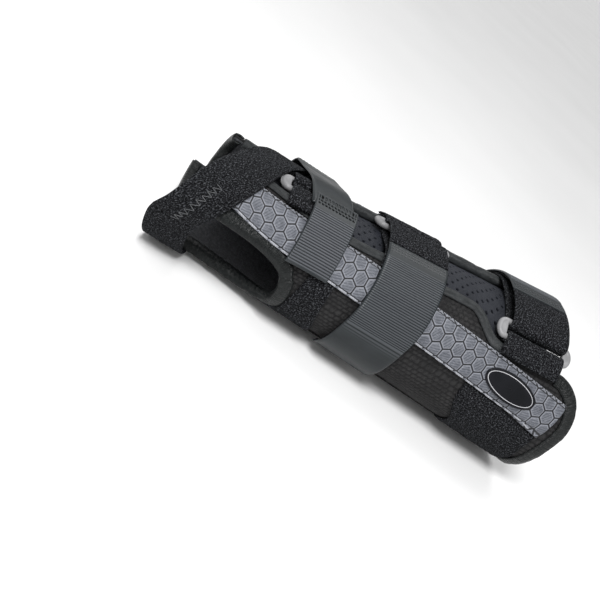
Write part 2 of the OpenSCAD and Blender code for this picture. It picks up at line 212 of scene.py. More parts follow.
def noise(u, v, size, seed):
    """Smooth random heights from -1 to 1, with hills about size apart."""
    count = 257
    table = np.random.default_rng(seed).uniform(-1, 1, (count, count))
    i, j = np.floor(u / size).astype(int), np.floor(v / size).astype(int)
    f, g = ease(u / size - i), ease(v / size - j)
    i, j, next_i, next_j = (q % count for q in (i, j, i + 1, j + 1))
    near = mix(table[i, j], table[next_i, j], f)
    far = mix(table[i, next_j], table[next_i, next_j], f)
    return mix(near, far, g)


def mesh_piece(name, points, faces, look, u=None, v=None, shade=None):
    """An object from points in mm and an array of faces, smooth shaded. u and v are a flat place
    in mm for each point, which the materials read, and shade is one more number for each,
    which the materials turn into painted shade and painted highlight."""
    mesh = bpy.data.meshes.new(name)
    faces = np.asarray(faces)
    mesh.vertices.add(len(points))
    mesh.vertices.foreach_set("co", (np.asarray(points) / MM).astype(np.float32).ravel())
    mesh.loops.add(faces.size)
    mesh.loops.foreach_set("vertex_index", faces.ravel().astype(np.int32))
    mesh.polygons.add(len(faces))
    starts = np.arange(0, faces.size, faces.shape[1], dtype=np.int32)
    mesh.polygons.foreach_set("loop_start", starts)
    mesh.update(calc_edges=True)
    mesh.polygons.foreach_set("use_smooth", np.ones(len(faces), bool))
    if u is not None:
        flat = points_of(np.ravel(u), np.ravel(v))[faces.ravel()]
        mesh.uv_layers.new(name="flat").data.foreach_set("uv", flat.astype(np.float32).ravel())
    if shade is not None:
        layer = mesh.attributes.new("shade", "FLOAT", "POINT")
        layer.data.foreach_set("value", np.ravel(shade).astype(np.float32))
    mesh.materials.append(look)
    piece = bpy.data.objects.new(name, mesh)
    bpy.context.scene.collection.objects.link(piece)
    return piece


def quads(index):
    """Faces of a grid of point numbers."""
    return stack([index[:-1, :-1], index[1:, :-1], index[1:, 1:], index[:-1, 1:]], -1).reshape(-1, 4)


def ring_faces(rings, count, closed=False):
    """Faces between rings of count points, where the last ring meets the first if closed."""
    index = np.arange(rings * count).reshape(rings, count)
    index = join([index, index[:, :1]], 1)
    return quads(join([index, index[:1]]) if closed else index)


def rim_faces(index):
    """Faces between the borders of a grid and of its copy, whose points come right after it."""
    border = join([index[:-1, 0], index[-1, :-1], index[:0:-1, -1], index[0, :0:-1]])
    after = np.roll(border, -1)
    return stack([after, border, border + index.size, after + index.size], -1)


def outward(faces, top, bottom, i, j):
    """The faces, turned over if those at the top's point i, j look down."""
    up = np.cross(top[i + 1, j] - top[i, j], top[i, j + 1] - top[i, j]) @ (top[i, j] - bottom[i, j])
    return faces if up > 0 else faces[:, ::-1]


def slab(name, top, bottom, look, u, v, shade=None):
    """A closed cloth between two grids of points."""
    index = np.arange(top[..., 0].size).reshape(top.shape[:2])
    faces = join([quads(index), quads(index)[:, ::-1] + index.size, rim_faces(index)])
    faces = outward(faces, top, bottom, top.shape[0] // 2, top.shape[1] // 2)
    points = join([top.reshape(-1, 3), bottom.reshape(-1, 3)])
    double = [None if q is None else join([np.ravel(q)] * 2) for q in (u, v, shade)]
    return mesh_piece(name, points, faces, look, *double)


def spaced(low, high, step):
    return np.linspace(low, high, max(2, int(abs(high - low) / step) + 2))


def edge_fall(distance, depth, reach=0.8):
    """How much lower a cloth's face is near its cut edge, where it rounds off."""
    t = 1 - np.clip(distance / reach, 0, 1)
    return depth * (1 - np.sqrt(1 - t * t * 0.98))


def stitches(name, starts, ends, ups, radius, look):
    """Short threads from starts to ends, each a bump that dips into the cloth at its ends."""
    starts, ends, ups = (np.asarray(q, float).reshape(-1, 3) for q in (starts, ends, ups))
    along = ends - starts
    side = unit(np.cross(along, ups))
    places = np.array([0, 0.1, 0.3, 0.7, 0.9, 1])
    height = np.array([-0.8, 0.1, 0.45, 0.45, 0.1, -0.8]) * radius
    wide = np.array([0.5, 0.9, 1, 1, 0.9, 0.5]) * radius
    turn = np.arange(6) * math.pi / 3
    middle = starts[:, None] + along[:, None] * places[:, None] + ups[:, None] * height[:, None]
    points = (middle[:, :, None] + side[:, None, None] * (wide[:, None] * np.cos(turn))[..., None]
              + ups[:, None, None] * (wide[:, None] * np.sin(turn))[..., None])
    n = len(starts)
    first, last = np.arange(6), np.arange(30, 36)
    caps = stack([first[[0, 1, 2, 3]], first[[0, 3, 4, 5]], last[[3, 2, 1, 0]], last[[5, 4, 3, 0]]])
    faces = join([ring_faces(6, 6), caps]) + 36 * np.arange(n)[:, None, None]
    faces = faces.reshape(-1, 4)
    place = np.arange(n * 36) % 36
    return mesh_piece(name, points.reshape(-1, 3), faces, look, place * 0.1, place * 0.05)


def sleeve_row(x, a, off, pitch, length, slant=0.0):
    """Starts, ends and ups of stitches along a line on the sleeve, turned by slant mm across it."""
    line = skin(x, a, off)
    s = sums(spacing(line))
    at = np.arange(pitch / 2, s[-1] - length, pitch)
    up = skin(x, a, np.asarray(off) + 1) - line

    def pick(where, values):
        return stack([np.interp(where, s, values[:, i]) for i in range(3)], -1)

    up = unit(pick(at, up))
    starts, ends = pick(at, line), pick(at + length, line)
    side = np.cross(ends - starts, up)
    side *= slant / 2 / np.linalg.norm(side, axis=-1, keepdims=True)
    return starts - side, ends + side, up


def join_rows(*rows):
    return [join(q) for q in zip(*rows)]


# ---- materials


class Look:
    """A procedural material. Its pattern reads the mesh's flat place, in mm."""

    def __init__(self, name, **values):
        self.material = bpy.data.materials.new(name)
        self.material.use_nodes = True
        self.tree = self.material.node_tree
        self.tree.nodes.clear()
        self.shader = self.tree.nodes.new("ShaderNodeBsdfPrincipled")
        output = self.tree.nodes.new("ShaderNodeOutputMaterial")
        self.tree.links.new(self.shader.outputs[0], output.inputs[0])
        for socket, value in values.items():
            self.set(self.shader, socket.replace("_", " "), value)

    def set(self, node, socket, value):
        target = node.inputs[socket]
        if isinstance(value, bpy.types.NodeSocket):
            self.tree.links.new(value, target)
        elif isinstance(value, tuple) and len(value) == 3 and target.type == "RGBA":
            target.default_value = (*value, 1)
        else:
            target.default_value = value

    def node(self, kind, inputs, output=0, **settings):
        made = self.tree.nodes.new("ShaderNode" + kind)
        for name, value in settings.items():
            setattr(made, name, value)
        for socket, value in inputs.items():
            self.set(made, socket, value)
        return made.outputs[output]

    def flat(self, scale=(1, 1, 1), turn=0.0):
        place = self.node("UVMap", {}, uv_map="flat")
        return self.node("Mapping", {"Vector": place, "Scale": scale, "Rotation": (0, 0, turn)})

    def solid(self, scale):
        place = self.node("TexCoord", {}, "Object")
        return self.node("Mapping", {"Vector": place, "Scale": (scale,) * 3})

    def noise(self, place, scale, detail=2.0, rough=0.5):
        return self.node("TexNoise", {"Vector": place, "Scale": scale, "Detail": detail,
                                      "Roughness": rough})

    def cells(self, place, scale):
        return self.node("TexVoronoi", {"Vector": place, "Scale": scale})

    def waves(self, place, scale, direction="X", warp=0.0):
        return self.node("TexWave", {"Vector": place, "Scale": scale, "Distortion": warp},
                         "Fac", bands_direction=direction)

    def math(self, kind, a, b=0.0, c=0.0):
        return self.node("Math", {0: a, 1: b, 2: c}, operation=kind)

    def ramp(self, value, low, high, out_low=0.0, out_high=1.0):
        return self.node("MapRange", {"Value": value, "From Min": low, "From Max": high,
                                      "To Min": out_low, "To Max": out_high})

    def blend(self, share, a, b):
        made = self.tree.nodes.new("ShaderNodeMix")
        made.data_type = "RGBA"
        self.set(made, 0, share)
        self.set(made, 6, a)
        self.set(made, 7, b)
        return made.outputs[2]

    def tones(self, value, dark, light, low=0.35, high=0.65):
        return self.blend(self.ramp(value, low, high), dark, light)

    def shade(self):
        return self.node("Attribute", {}, "Fac", attribute_name="shade")

    def finish(self, colour, rough, height=None, depth=0.0):
        """The material, with its surface raised by depth mm where height is 1."""
        self.set(self.shader, "Base Color", colour)
        self.set(self.shader, "Roughness", rough)
        if height is not None:
            bump = self.node("Bump", {"Height": height, "Distance": depth / MM, "Strength": 1.0})
            self.set(self.shader, "Normal", bump)
        return self.material


def spacer_mesh_look():
    look = Look("spacer_mesh", Sheen_Weight=0.08, Sheen_Roughness=0.5, Sheen_Tint=(0.5, 0.48, 0.48),
                Specular_IOR_Level=0.15)
    place = look.flat()
    holes = look.cells(look.flat((1, 1.25, 1)), 0.95)
    cloud = look.noise(place, 0.09, 4)
    tone = look.tones(cloud, (0.016, 0.016, 0.0165), (0.031, 0.0305, 0.031))
    # Painted shade: the middle of each hole is darkened.
    shaded_net = look.tones(holes, (0.006, 0.006, 0.006), tone, 0.12, 0.4)
    # Painted shade: the sunk gaps between the scales, marked by the shade attribute, are darkened.
    colour = look.blend(look.shade(), shaded_net, (0.008, 0.008, 0.0085))
    height = look.math("MULTIPLY_ADD", look.noise(place, 3.5, 3), 0.4, look.ramp(holes, 0.1, 0.5))
    return look.finish(colour, look.ramp(cloud, 0.3, 0.7, 0.75, 0.92), height, 0.16)


def terry_look():
    look = Look("terry_lining", Sheen_Weight=0.2, Sheen_Roughness=0.6, Sheen_Tint=(0.6, 0.62, 0.66),
                Specular_IOR_Level=0.2)
    place = look.flat()
    tufts = look.cells(place, 0.9)
    fine = look.noise(place, 2.2, 3)
    # Painted shade: each tuft is lighter at its raised middle and darker between the tufts.
    colour = look.tones(tufts, (0.05, 0.052, 0.058), (0.018, 0.019, 0.021), 0.1, 0.7)
    return look.finish(colour, 0.95, look.math("SUBTRACT", fine, tufts), 0.35)


def neoprene_look():
    look = Look("neoprene", Sheen_Weight=0.08, Sheen_Roughness=0.45, Sheen_Tint=(0.6, 0.64, 0.75),
                Specular_IOR_Level=0.2)
    place = look.flat()
    knit = look.waves(look.flat((1, 1, 1), 0.5), 2.4, "X", 0.6)
    cloud = look.noise(place, 0.05, 3)
    colour = look.tones(cloud, (0.009, 0.0105, 0.015), (0.017, 0.019, 0.025))
    height = look.math("MULTIPLY_ADD", knit, 0.6, look.noise(place, 4, 2))
    return look.finish(colour, look.ramp(knit, 0, 1, 0.52, 0.64), height, 0.05)


def tape_look(name, dark, light, shine, crease):
    """Woven binding tape: fine ribs across it, creases crease mm deep and cloudy wear."""
    look = Look(name, Specular_IOR_Level=0.26)
    ribs = look.waves(look.flat(), 1.1, "X", 0.5)
    cloud = look.noise(look.flat((0.25, 1, 1)), 0.9, 4)
    folds = look.noise(look.flat((0.6, 0.17, 1), 0.35), 1.0, 3, 0.6)
    height = look.math("MULTIPLY_ADD", ribs, 0.06, look.math("MULTIPLY", cloud, 0.09))
    height = look.math("MULTIPLY_ADD", folds, crease, height)
    rough = look.ramp(folds, 0.3, 0.7, shine, shine + 0.14)
    return look.finish(look.tones(cloud, dark, light, 0.3, 0.7), rough, height, 1.0)


HEX_PITCH = 7.0
HEX_ROW = HEX_PITCH * math.sqrt(3)


def hex_depth(u, v):
    """How far a place is inside its hexagon, 0 on the lines and 0.5 at the middle."""
    best_x, best_y, best = None, None, None
    for shift in (0, 0.5):
        x = (u / HEX_PITCH + 0.5 + shift) % 1 - 0.5
        y = ((v / HEX_ROW + 0.5 + shift) % 1 - 0.5) * math.sqrt(3)
        far = x * x + y * y
        if best is None:
            best_x, best_y, best = x, y, far
        else:
            nearer = far < best
            best_x, best_y = np.where(nearer, x, best_x), np.where(nearer, y, best_y)
    x, y = np.abs(best_x), np.abs(best_y)
    return 0.5 - np.maximum(x, x * 0.5 + y * math.sqrt(3) / 2)


def hexagon_look():
    """Light woven hexagons between dark lines, the same sum as hex_depth in nodes."""
    look = Look("hexagon_fabric", Sheen_Weight=0.1, Sheen_Roughness=0.4, Sheen_Tint=(0.8, 0.82, 0.9),
                Specular_IOR_Level=0.35)
    place = look.node("SeparateXYZ", {"Vector": look.flat()})
    u, v = place, place.node.outputs[1]

    def to_middle(value, pitch, shift):
        """The distance from the middle of a cell, in cells."""
        wrapped = look.math("WRAP", look.math("MULTIPLY_ADD", value, 1 / pitch, shift), 1.0, 0.0)
        return look.math("ABSOLUTE", look.math("SUBTRACT", wrapped, 0.5))

    lattices = []
    for shift in (0.5, 1.0):
        x = to_middle(u, HEX_PITCH, shift)
        y = look.math("MULTIPLY", to_middle(v, HEX_ROW, shift), math.sqrt(3))
        far = look.math("MULTIPLY_ADD", x, x, look.math("MULTIPLY", y, y))
        slant = look.math("MULTIPLY_ADD", x, 0.5, look.math("MULTIPLY", y, math.sqrt(3) / 2))
        lattices.append((far, look.math("MAXIMUM", x, slant)))
    (far_a, dist_a), (far_b, dist_b) = lattices
    nearer = look.math("LESS_THAN", far_b, far_a)
    dist = look.math("MULTIPLY_ADD", nearer, look.math("SUBTRACT", dist_b, dist_a), dist_a)
    inside = look.ramp(dist, 0.462, 0.428)
    threads = look.node("Mix", {0: nearer, 2: look.waves(look.flat((1, 1, 1), 0.55), 0.25, "X", 1.4),
                                3: look.waves(look.flat((1, 1, 1), -0.35), 0.25, "Y", 1.4)})
    fleck = look.noise(look.flat((0.45, 1.5, 1)), 1.1, 4, 0.7)
    cloud = look.noise(look.flat(), 0.16, 3)
    cell = look.tones(cloud, (0.085, 0.091, 0.108), (0.135, 0.143, 0.165))
    cell = look.blend(look.ramp(threads, 0.3, 0.8, 0.0, 0.62), cell, (0.042, 0.046, 0.056))
    cell = look.blend(look.ramp(fleck, 0.5, 0.7, 0.0, 0.5), cell, (0.27, 0.28, 0.315))
    # Painted highlight: a pale band just inside each hexagon's line, on the padded edge.
    rim = look.ramp(dist, 0.35, 0.41, 0.0, 0.55)
    cell = look.blend(rim, cell, (0.30, 0.31, 0.35))
    cell = look.blend(inside, (0.008, 0.009, 0.011), cell)
    seam = look.math("ABSOLUTE", look.math("SUBTRACT", look.math("ABSOLUTE", v), COVER_W / 2 - 1.6))
    colour = look.blend(look.ramp(seam, 0.15, 0.32), (0.01, 0.011, 0.013), cell)
    height = look.math("MULTIPLY_ADD", threads, -0.8, fleck)
    return look.finish(colour, look.ramp(fleck, 0.3, 0.7, 0.5, 0.68), height, 0.14)


def pile_look(name, dark, light):
    """Brushed loop pile: black, with grey flecks painted on as highlights of the loops, painted shade
    between the loops and a soft sheen.
    """
    look = Look(name, Sheen_Weight=0.04, Sheen_Roughness=0.4, Sheen_Tint=(0.42, 0.44, 0.48),
                Specular_IOR_Level=0.08)
    place = look.flat()
    loops = look.cells(place, 1.0)
    glint_specks = look.noise(place, 1.25, 3, 0.8)
    cloud = look.noise(place, 0.1, 3)
    base = look.tones(cloud, dark, light)
    # Painted highlight: grey flecks on the raised loops.
    base = look.blend(look.ramp(glint_specks, 0.51, 0.62, 0.0, 0.95), base, (0.115, 0.121, 0.132))
    # Painted shade: darker between the loops.
    colour = look.blend(look.ramp(loops, 0.35, 0.75, 0.0, 0.6), base, (0.003, 0.003, 0.004))
    return look.finish(colour, 0.95, look.math("SUBTRACT", look.math("MULTIPLY", glint_specks, 1.8), loops), 0.45)


SMOOTH = 0.3


def strap_look(name, dark, light, crest_highlight):
    """Rubbery strap. shade is 0 on the ribs' crests, which take a painted highlight colour, SMOOTH where it
    is plain and 1 in the slots; above SMOOTH it darkens as painted shade in the hollows between ribs and in
    the slots.
    """
    look = Look(name)
    cloud = look.noise(look.flat((0.3, 0.12, 1)), 0.5, 4)
    fine = look.noise(look.flat(), 5, 2)
    tone = look.tones(cloud, dark, light)
    # Painted highlight: the rib crests take a lighter colour.
    tone = look.blend(look.ramp(look.shade(), 0.0, SMOOTH), crest_highlight, tone)
    # Painted shade: the hollows between ribs and the sewn slots darken towards near black.
    colour = look.blend(look.ramp(look.shade(), SMOOTH, 1.0), tone, (0.002, 0.002, 0.002))
    look.set(look.shader, "Specular IOR Level", look.ramp(look.shade(), SMOOTH, 0.9, 0.33, 0.03))
    rough = look.ramp(cloud, 0.3, 0.7, 0.32, 0.42)
    return look.finish(colour, rough, look.math("ADD", fine, cloud), 0.025)


def hook_look():
    look = Look("hook_sheet", Specular_IOR_Level=0.4)
    hooks = look.cells(look.flat(), 1.3)
    # Painted highlight and shade: lighter on the raised hooks, darker between them.
    colour = look.tones(hooks, (0.03, 0.03, 0.033), (0.006, 0.006, 0.007), 0.1, 0.5)
    rough = look.ramp(hooks, 0, 0.6, 0.45, 0.7)
    return look.finish(colour, rough, look.math("SUBTRACT", 1.0, hooks), 0.25)


def plastic_look(name, dark, light, low, high, gloss=0.3):
    """Moulded plastic with faint flow marks and handling wear."""
    look = Look(name, Specular_IOR_Level=gloss)
    place = look.solid(60.0)
    cloud = look.noise(place, 1.5, 5)
    rough = look.ramp(cloud, 0.3, 0.7, low, high)
    return look.finish(look.tones(cloud, dark, light), rough, look.noise(place, 22, 3), 0.03)


def metal_look():
    look = Look("brushed_aluminium", Metallic=1.0)
    place = look.node("TexCoord", {}, "Object")
    brushed = look.noise(look.node("Mapping", {"Vector": place, "Scale": (6, 900, 900)}), 1.0, 3)
    colour = look.tones(brushed, (0.52, 0.53, 0.55), (0.72, 0.73, 0.75), 0.3, 0.7)
    return look.finish(colour, look.ramp(brushed, 0.3, 0.7, 0.28, 0.45), brushed, 0.02)


def thread_look(name, dark, light):
    look = Look(name, Sheen_Weight=0.3, Sheen_Roughness=0.4)
    twist = look.waves(look.flat((1, 1, 1), 0.7), 2.5)
    return look.finish(look.blend(twist, dark, light), 0.6, twist, 0.03)


MESH = spacer_mesh_look()
TERRY = terry_look()
NEOPRENE = neoprene_look()
EDGE_TAPE = tape_look("edge_tape", (0.0028, 0.0038, 0.004), (0.0068, 0.0088, 0.0088), 0.3, 1.7)
SMOOTH_TAPE = tape_look("smooth_tape", (0.013, 0.015, 0.016), (0.034, 0.037, 0.039), 0.36, 0.5)
HEXAGON = hexagon_look()
PILE = pile_look("loop_pile", (0.0015, 0.0016, 0.002), (0.0045, 0.0048, 0.0055))
# The last colour of each strap is the painted highlight of its rib crests.
STRAP = strap_look("smooth_strap", (0.006, 0.009, 0.011), (0.0125, 0.0165, 0.019), (0.056, 0.062, 0.07))
# The hand tab is the same strap painted lighter: painted light.
LIT_HAND_STRAP = strap_look("hand_strap", (0.011, 0.0145, 0.017), (0.022, 0.026, 0.029), (0.074, 0.079, 0.09))
HOOK = hook_look()
RING = plastic_look("ring_plastic", (0.20, 0.20, 0.206), (0.28, 0.28, 0.287), 0.28, 0.42)
BADGE = plastic_look("badge_plastic", (0.004, 0.0045, 0.006), (0.0075, 0.008, 0.0105), 0.3, 0.4, 0.12)
BADGE_LINE = plastic_look("badge_line", (0.42, 0.42, 0.44), (0.52, 0.52, 0.54), 0.4, 0.5)
STAY_PLASTIC = plastic_look("stay_plastic", (0.62, 0.62, 0.56), (0.72, 0.72, 0.66), 0.4, 0.55)
METAL = metal_look()
BLACK_THREAD = thread_look("black_thread", (0.006, 0.006, 0.007), (0.02, 0.02, 0.022))
GREY_THREAD = thread_look("grey_thread", (0.05, 0.053, 0.058), (0.11, 0.115, 0.12))
PALE_THREAD = thread_look("pale_thread", (0.22, 0.225, 0.25), (0.36, 0.37, 0.40))


# ---- placing pieces


def put(piece, body, slot_name, *nodes):
    """The piece rides on a body and stands for CAD nodes, which it hides; slot_name is not used."""
    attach(piece, body)
    if nodes:
        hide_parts(*nodes)
    return piece


def sew(name, rows, radius, look, slot_name):
    put(stitches(name, *rows, radius, look), "brace", slot_name)


def declare(grid):
    """Works out the width, length and area of a sheet from a grid of points in mm, and does nothing more
    with them.
    """
    along, across = spacing(grid).sum(0), spacing(grid, 1).sum(1)
    cross = np.cross(grid[1:, :-1] - grid[:-1, :-1], grid[:-1, 1:] - grid[:-1, :-1])
    area = np.linalg.norm(cross, axis=-1).sum() / MM ** 2
    wide, long = sorted([across.max() / MM, along.max() / MM])
    wide = max(0.01, wide)
    area = max(min(area, wide * long), 0.31 * wide * long)


# ---- panels and linings


def weave_gaps(u, v):
    """The spacer mesh's rows of rounded scales: 1 in the gaps between them, where the mesh is sunk and
    darkened with painted shade.
    """
    pitch, row = 3.3, 2.6
    line = np.floor(v / row)
    du = ((u / pitch + 0.5 * (line % 2)) % 1 - 0.5) * 2
    dv = (v / row % 1 - 0.5) * 2
    return np.clip((np.abs(du) ** 2.5 + np.abs(dv - 0.25 * (1 - du * du)) ** 2.5 - 0.3) * 1.5, 0, 1)


def wrinkles(u, v, seed):
    """Broad waves, and narrow creases in some places."""
    fold = noise(u * 0.55 + v * 0.3, v * 0.5, 7, seed)
    creased = ease(noise(u, v, 22, seed + 2) + 0.4)
    return 0.3 * noise(u, v, 16, seed + 1) - 0.45 * np.exp(-(fold / 0.12) ** 2) * creased


def panel_grid(xs, low, high, steps):
    x = xs[:, None] + np.zeros(steps + 1)
    t = np.linspace(0, 1, steps + 1)
    return x, mix(low(xs)[:, None], high(xs)[:, None], t)


NOTCH_X = hole_x(np.linspace(90, 0, 64))
ELBOW_X = elbow_x(np.linspace(0, 90, 26))
PANEL_STEP = 0.9
PAST_NOTCH = spaced(NOTCH_X[-1] + 0.8, CORNER_X - PANEL_STEP, PANEL_STEP)
PANELS = {
    "radial": (join([NOTCH_X, PAST_NOTCH, ELBOW_X]),
               lambda x: np.maximum(SEAM_A + hole_span(x), SEAM_A + 0.02), radial_edge, 92),
    "volar": (join([spaced(-PALM, -SIDE - 0.8, PANEL_STEP), NOTCH_X, PAST_NOTCH,
                    spaced(CORNER_X, FOREARM, PANEL_STEP)]),
              lambda x: np.full_like(x, -180 - SEAM_A + 0.02),
              lambda x: np.minimum(SEAM_A - hole_span(x), SEAM_A - 0.02), 130),
    "ulnar": (join([spaced(-SIDE, CORNER_X - PANEL_STEP, PANEL_STEP), ELBOW_X]),
              lambda x: 180 - ulnar_edge(x), lambda x: np.full_like(x, 180 - SEAM_A - 0.02), 96),
}
for number, (side, (xs, low, high, steps)) in enumerate(PANELS.items()):
    x, a = panel_grid(xs, low, high, steps)
    u, v = x, a * 0.7
    gaps = weave_gaps(u, v)
    relief = wrinkles(u, v, 10 + 5 * number) - 0.26 * gaps
    top, bottom = skin(x, a, PANEL_OUT + relief), skin(x, a, PANEL_IN)
    # gaps also darkens the mesh's colour between the scales: painted shade.
    panel = slab(side + "_mesh", top, bottom, MESH, u, v, gaps)
    put(panel, "brace", "spacer_mesh", side + "_panel")
    declare(skin(x, a, PANEL_OUT))
    pile = 0.16 * noise(u, v, 1.7, 40 + number) + 0.12 * noise(u, v, 3.1, 50 + number)
    lining = slab(side + "_terry", skin(x, a, LINER_OUT), skin(x, a, pile - 0.1), TERRY, u, v)
    put(lining, "brace", "terry_lining", side + "_liner")
    declare(skin(x, a, 0))


# ---- the perforated tongue


def tongue():
    """Neoprene with through holes. Every cell of a checkerboard has 16 points on its border,
    and every other cell has a hole."""
    x0, x1 = box("dorsal_tongue")[0][0], box("dorsal_tongue")[1][0]
    long, wide, nx, ny, part, radius = x1 - x0, 52, 54, 14, 4, 0.85

    def at(s, t, off):
        x = mix(x0, x1, s)
        return skin(x, mix(radial_edge(x) - 10, 132, t), off)

    s, t = np.meshgrid(np.linspace(0, 1, nx * part + 1), np.linspace(0, 1, ny * part + 1), indexing="ij")
    border = np.minimum.reduce([s * nx, (1 - s) * nx, t * ny, (1 - t) * ny]) * 3
    fall = edge_fall(border, 0.8, 2)
    top = at(s, t, TONGUE_OUT + 0.12 * noise(s * 170, t * 55, 13, 3) - fall)
    bottom = at(s, t, TONGUE_OUT - TONGUE_T + fall)
    index = np.arange(s.size).reshape(s.shape)
    i, j = np.meshgrid(np.arange(nx), np.arange(ny), indexing="ij")
    holed = ((i + j) % 2 == 0) & (i > 0) & (i < nx - 1) & (j > 0) & (j < ny - 1)
    plain = quads(index).reshape(nx, part, ny, part, 4).transpose(0, 2, 1, 3, 4)[~holed].reshape(-1, 4)
    # The border of a holed cell, as 16 places of (p, q) from 0 to part
    i, j = i[holed][:, None], j[holed][:, None]
    p = np.clip(6 - np.abs(np.arange(16) - 6), 0, part)
    q = np.roll(p, part)
    ring = index[i * part + p, j * part + q]
    angle = np.arctan2(q - part / 2, p - part / 2)
    levels = [(0.4, 0.0), (0.08, 0.1), (0.0, 0.4)]
    flat_s, flat_t, points = [s, s], [t, t], [top, bottom]
    for wider, lower in levels + [(w, TONGUE_T - l) for w, l in levels[::-1]]:
        flat_s.append((i + 0.5) / nx + (radius + wider) * np.cos(angle) / long)
        flat_t.append((j + 0.5) / ny + (radius + wider) * np.sin(angle) / wide)
        points.append(at(flat_s[-1], flat_t[-1], TONGUE_OUT - lower))
    rims = [2 * s.size + k * ring.size + np.arange(ring.size).reshape(-1, 16) for k in range(6)]
    rims = [ring] + rims + [ring + s.size]
    walls = [stack([a, np.roll(a, -1, 1), np.roll(b, -1, 1), b], -1).reshape(-1, 4)
             for a, b in zip(rims, rims[1:])]
    faces = join([plain, plain[:, ::-1] + s.size, rim_faces(index)] + walls)
    piece = mesh_piece("perforated_tongue", join([q.reshape(-1, 3) for q in points]),
                       outward(faces, top, bottom, 0, 0), NEOPRENE,
                       join([q.ravel() for q in flat_s]) * long, join([q.ravel() for q in flat_t]) * wide)
    put(piece, "brace", "neoprene", "dorsal_tongue")
    declare(at(s, t, TONGUE_OUT))


tongue()


# ---- bindings


def resample(line, step):
    line = np.asarray(line, float)
    k = per_deg(line[:, 0], line[:, 1])
    d = np.hypot(np.diff(line[:, 0]), np.diff(line[:, 1]) * (k[1:] + k[:-1]) / 2)
    s = sums(d)
    at = spaced(0, s[-1], step)
    return at, points_of(np.interp(at, s, line[:, 0]), np.interp(at, s, line[:, 1]))


def smooth(values, times):
    """Rounds the corners of a line."""
    for _ in range(times):
        values[1:-1] = (values[:-2] + 2 * values[1:-1] + values[2:]) / 4
    return values


def binding(name, node, line, look, slot_name, wide=5.0, seed=1, round_corners=10):
    """Tape rolled over an edge, which is a list of (x, angle) with the panel on its right, and a
    row of stitches along it."""
    s, edge = resample(line, 0.7)
    edge = smooth(edge, round_corners)
    k = per_deg(edge[:, 0], edge[:, 1])
    tangent = np.gradient(edge, axis=0)
    tangent[:, 1] *= k
    tangent = unit(tangent)
    inward = points_of(tangent[:, 1], -tangent[:, 0] / k)
    # Section, as (distance in from the edge, height): the outer face from the panel round to the lining
    outer = np.array([
        (wide, 3.4), (wide - 0.15, 3.85), (wide * 0.8, 4.15), (wide * 0.5, 4.45), (wide * 0.2, 4.4),
        (-0.5, 3.9), (-1.05, 3.0), (-1.3, 1.7), (-1.2, 0.5), (-0.8, -0.5), (0, -1.1), (1.2, -1.35),
        (2.6, -1.3), (wide - 1, -1.1), (wide - 0.6, -0.5)])
    inner = np.array([
        (wide - 0.2, 3.1), (wide - 0.6, 3.2), (wide * 0.7, 3.25), (wide * 0.45, 3.3), (1, 3.3),
        (0.2, 3.15), (-0.2, 2.7), (-0.35, 1.7), (-0.3, 0.6), (-0.1, -0.05), (0.4, -0.25), (1.4, -0.3),
        (2.6, -0.3), (wide - 1.4, -0.3), (wide - 1.1, -0.2)])
    count = len(outer)
    pucker = 0.2 * noise(s, s * 0, 3.2, seed)[:, None]
    pucker = pucker + 0.24 * noise(s[:, None], np.arange(count) * 1.0, 2.6, seed + 1)
    lift = pucker * np.sin(np.linspace(0, math.pi, count))
    # Under the arm at the elbow the palm stay slides out past the tape
    under = (np.abs(edge[:, 1:] + 90) - 14) / 6 + 9 * (edge[:, :1] < CORNER_X)
    ceiling = mix(3.75, 9, ease(under))

    def place(section, swell):
        reach, height = section[:, 0], section[:, 1]
        height = np.minimum(height + np.sign(height - 1.5) * swell, ceiling)
        return skin(edge[:, :1] + inward[:, :1] * reach, edge[:, 1:] + inward[:, 1:] * reach, height)

    u = np.repeat(s[:, None], count, 1)
    v = np.repeat(np.linspace(0, 2 * wide + 5, count)[None], len(s), 0)
    piece = slab(name, place(outer, lift), place(inner, lift * 0), look, u, v)
    put(piece, "brace", slot_name, node)
    mid = place(outer, lift * 0)
    declare(mid)
    row_x = edge[:, 0] + inward[:, 0] * (wide - 1.1)
    row_a = edge[:, 1] + inward[:, 1] * (wide - 1.1)
    return sleeve_row(row_x, row_a, np.minimum(4.0, ceiling[:, 0]), 2.7, 1.9)


notch_g = np.linspace(86, 0, 70)
notch_x = hole_x(notch_g)
lower_notch = points_of(notch_x, SEAM_A - hole_span(notch_x))
upper_notch = points_of(notch_x, SEAM_A + hole_span(notch_x))[::-1]
thumb_front = points_of(-SIDE, np.linspace(24, 73, 20))
elbow_g = np.linspace(2, 90, 40)
radial_corner = points_of(elbow_x(elbow_g), ELBOW_EDGE_A * np.cos(np.radians(elbow_g)))
ulnar_corner = points_of(elbow_x(elbow_g), -180 - EDGE_A * np.cos(np.radians(elbow_g)))[::-1]
elbow_line = points_of(FOREARM, np.linspace(-2, -178, 90))
radial_x, ulnar_x = spaced(-60, 131, 2), spaced(131, -60.5, 2)

seams = [
    binding("radial_edge_tape", "radial_binding", points_of(radial_x, radial_edge(radial_x)),
            SMOOTH_TAPE, "smooth_tape", 4.4, 1),
    binding("ulnar_edge_tape", "ulnar_binding", points_of(ulnar_x, 180 - ulnar_edge(ulnar_x)),
            SMOOTH_TAPE, "smooth_tape", 4.4, 3),
    binding("ulnar_front_tape", "ulnar_front_binding",
            points_of(-SIDE, np.linspace(141, 201, 40)), EDGE_TAPE, "edge_tape", 5, 5),
    binding("elbow_tape", "proximal_binding", join([radial_corner, elbow_line, ulnar_corner]),
            EDGE_TAPE, "edge_tape", 6, 7),
    binding("thumb_tape", "thumb_binding", join([lower_notch, upper_notch, thumb_front]),
            EDGE_TAPE, "edge_tape", 6, 9, 30),
    binding("palm_tape", "palm_binding", points_of(-PALM, np.linspace(-155, -70, 40)),
            EDGE_TAPE, "edge_tape", 5, 11),
]
sew("binding_stitches", join_rows(*seams), 0.17, BLACK_THREAD, "edge_tape")


# ---- stay covers


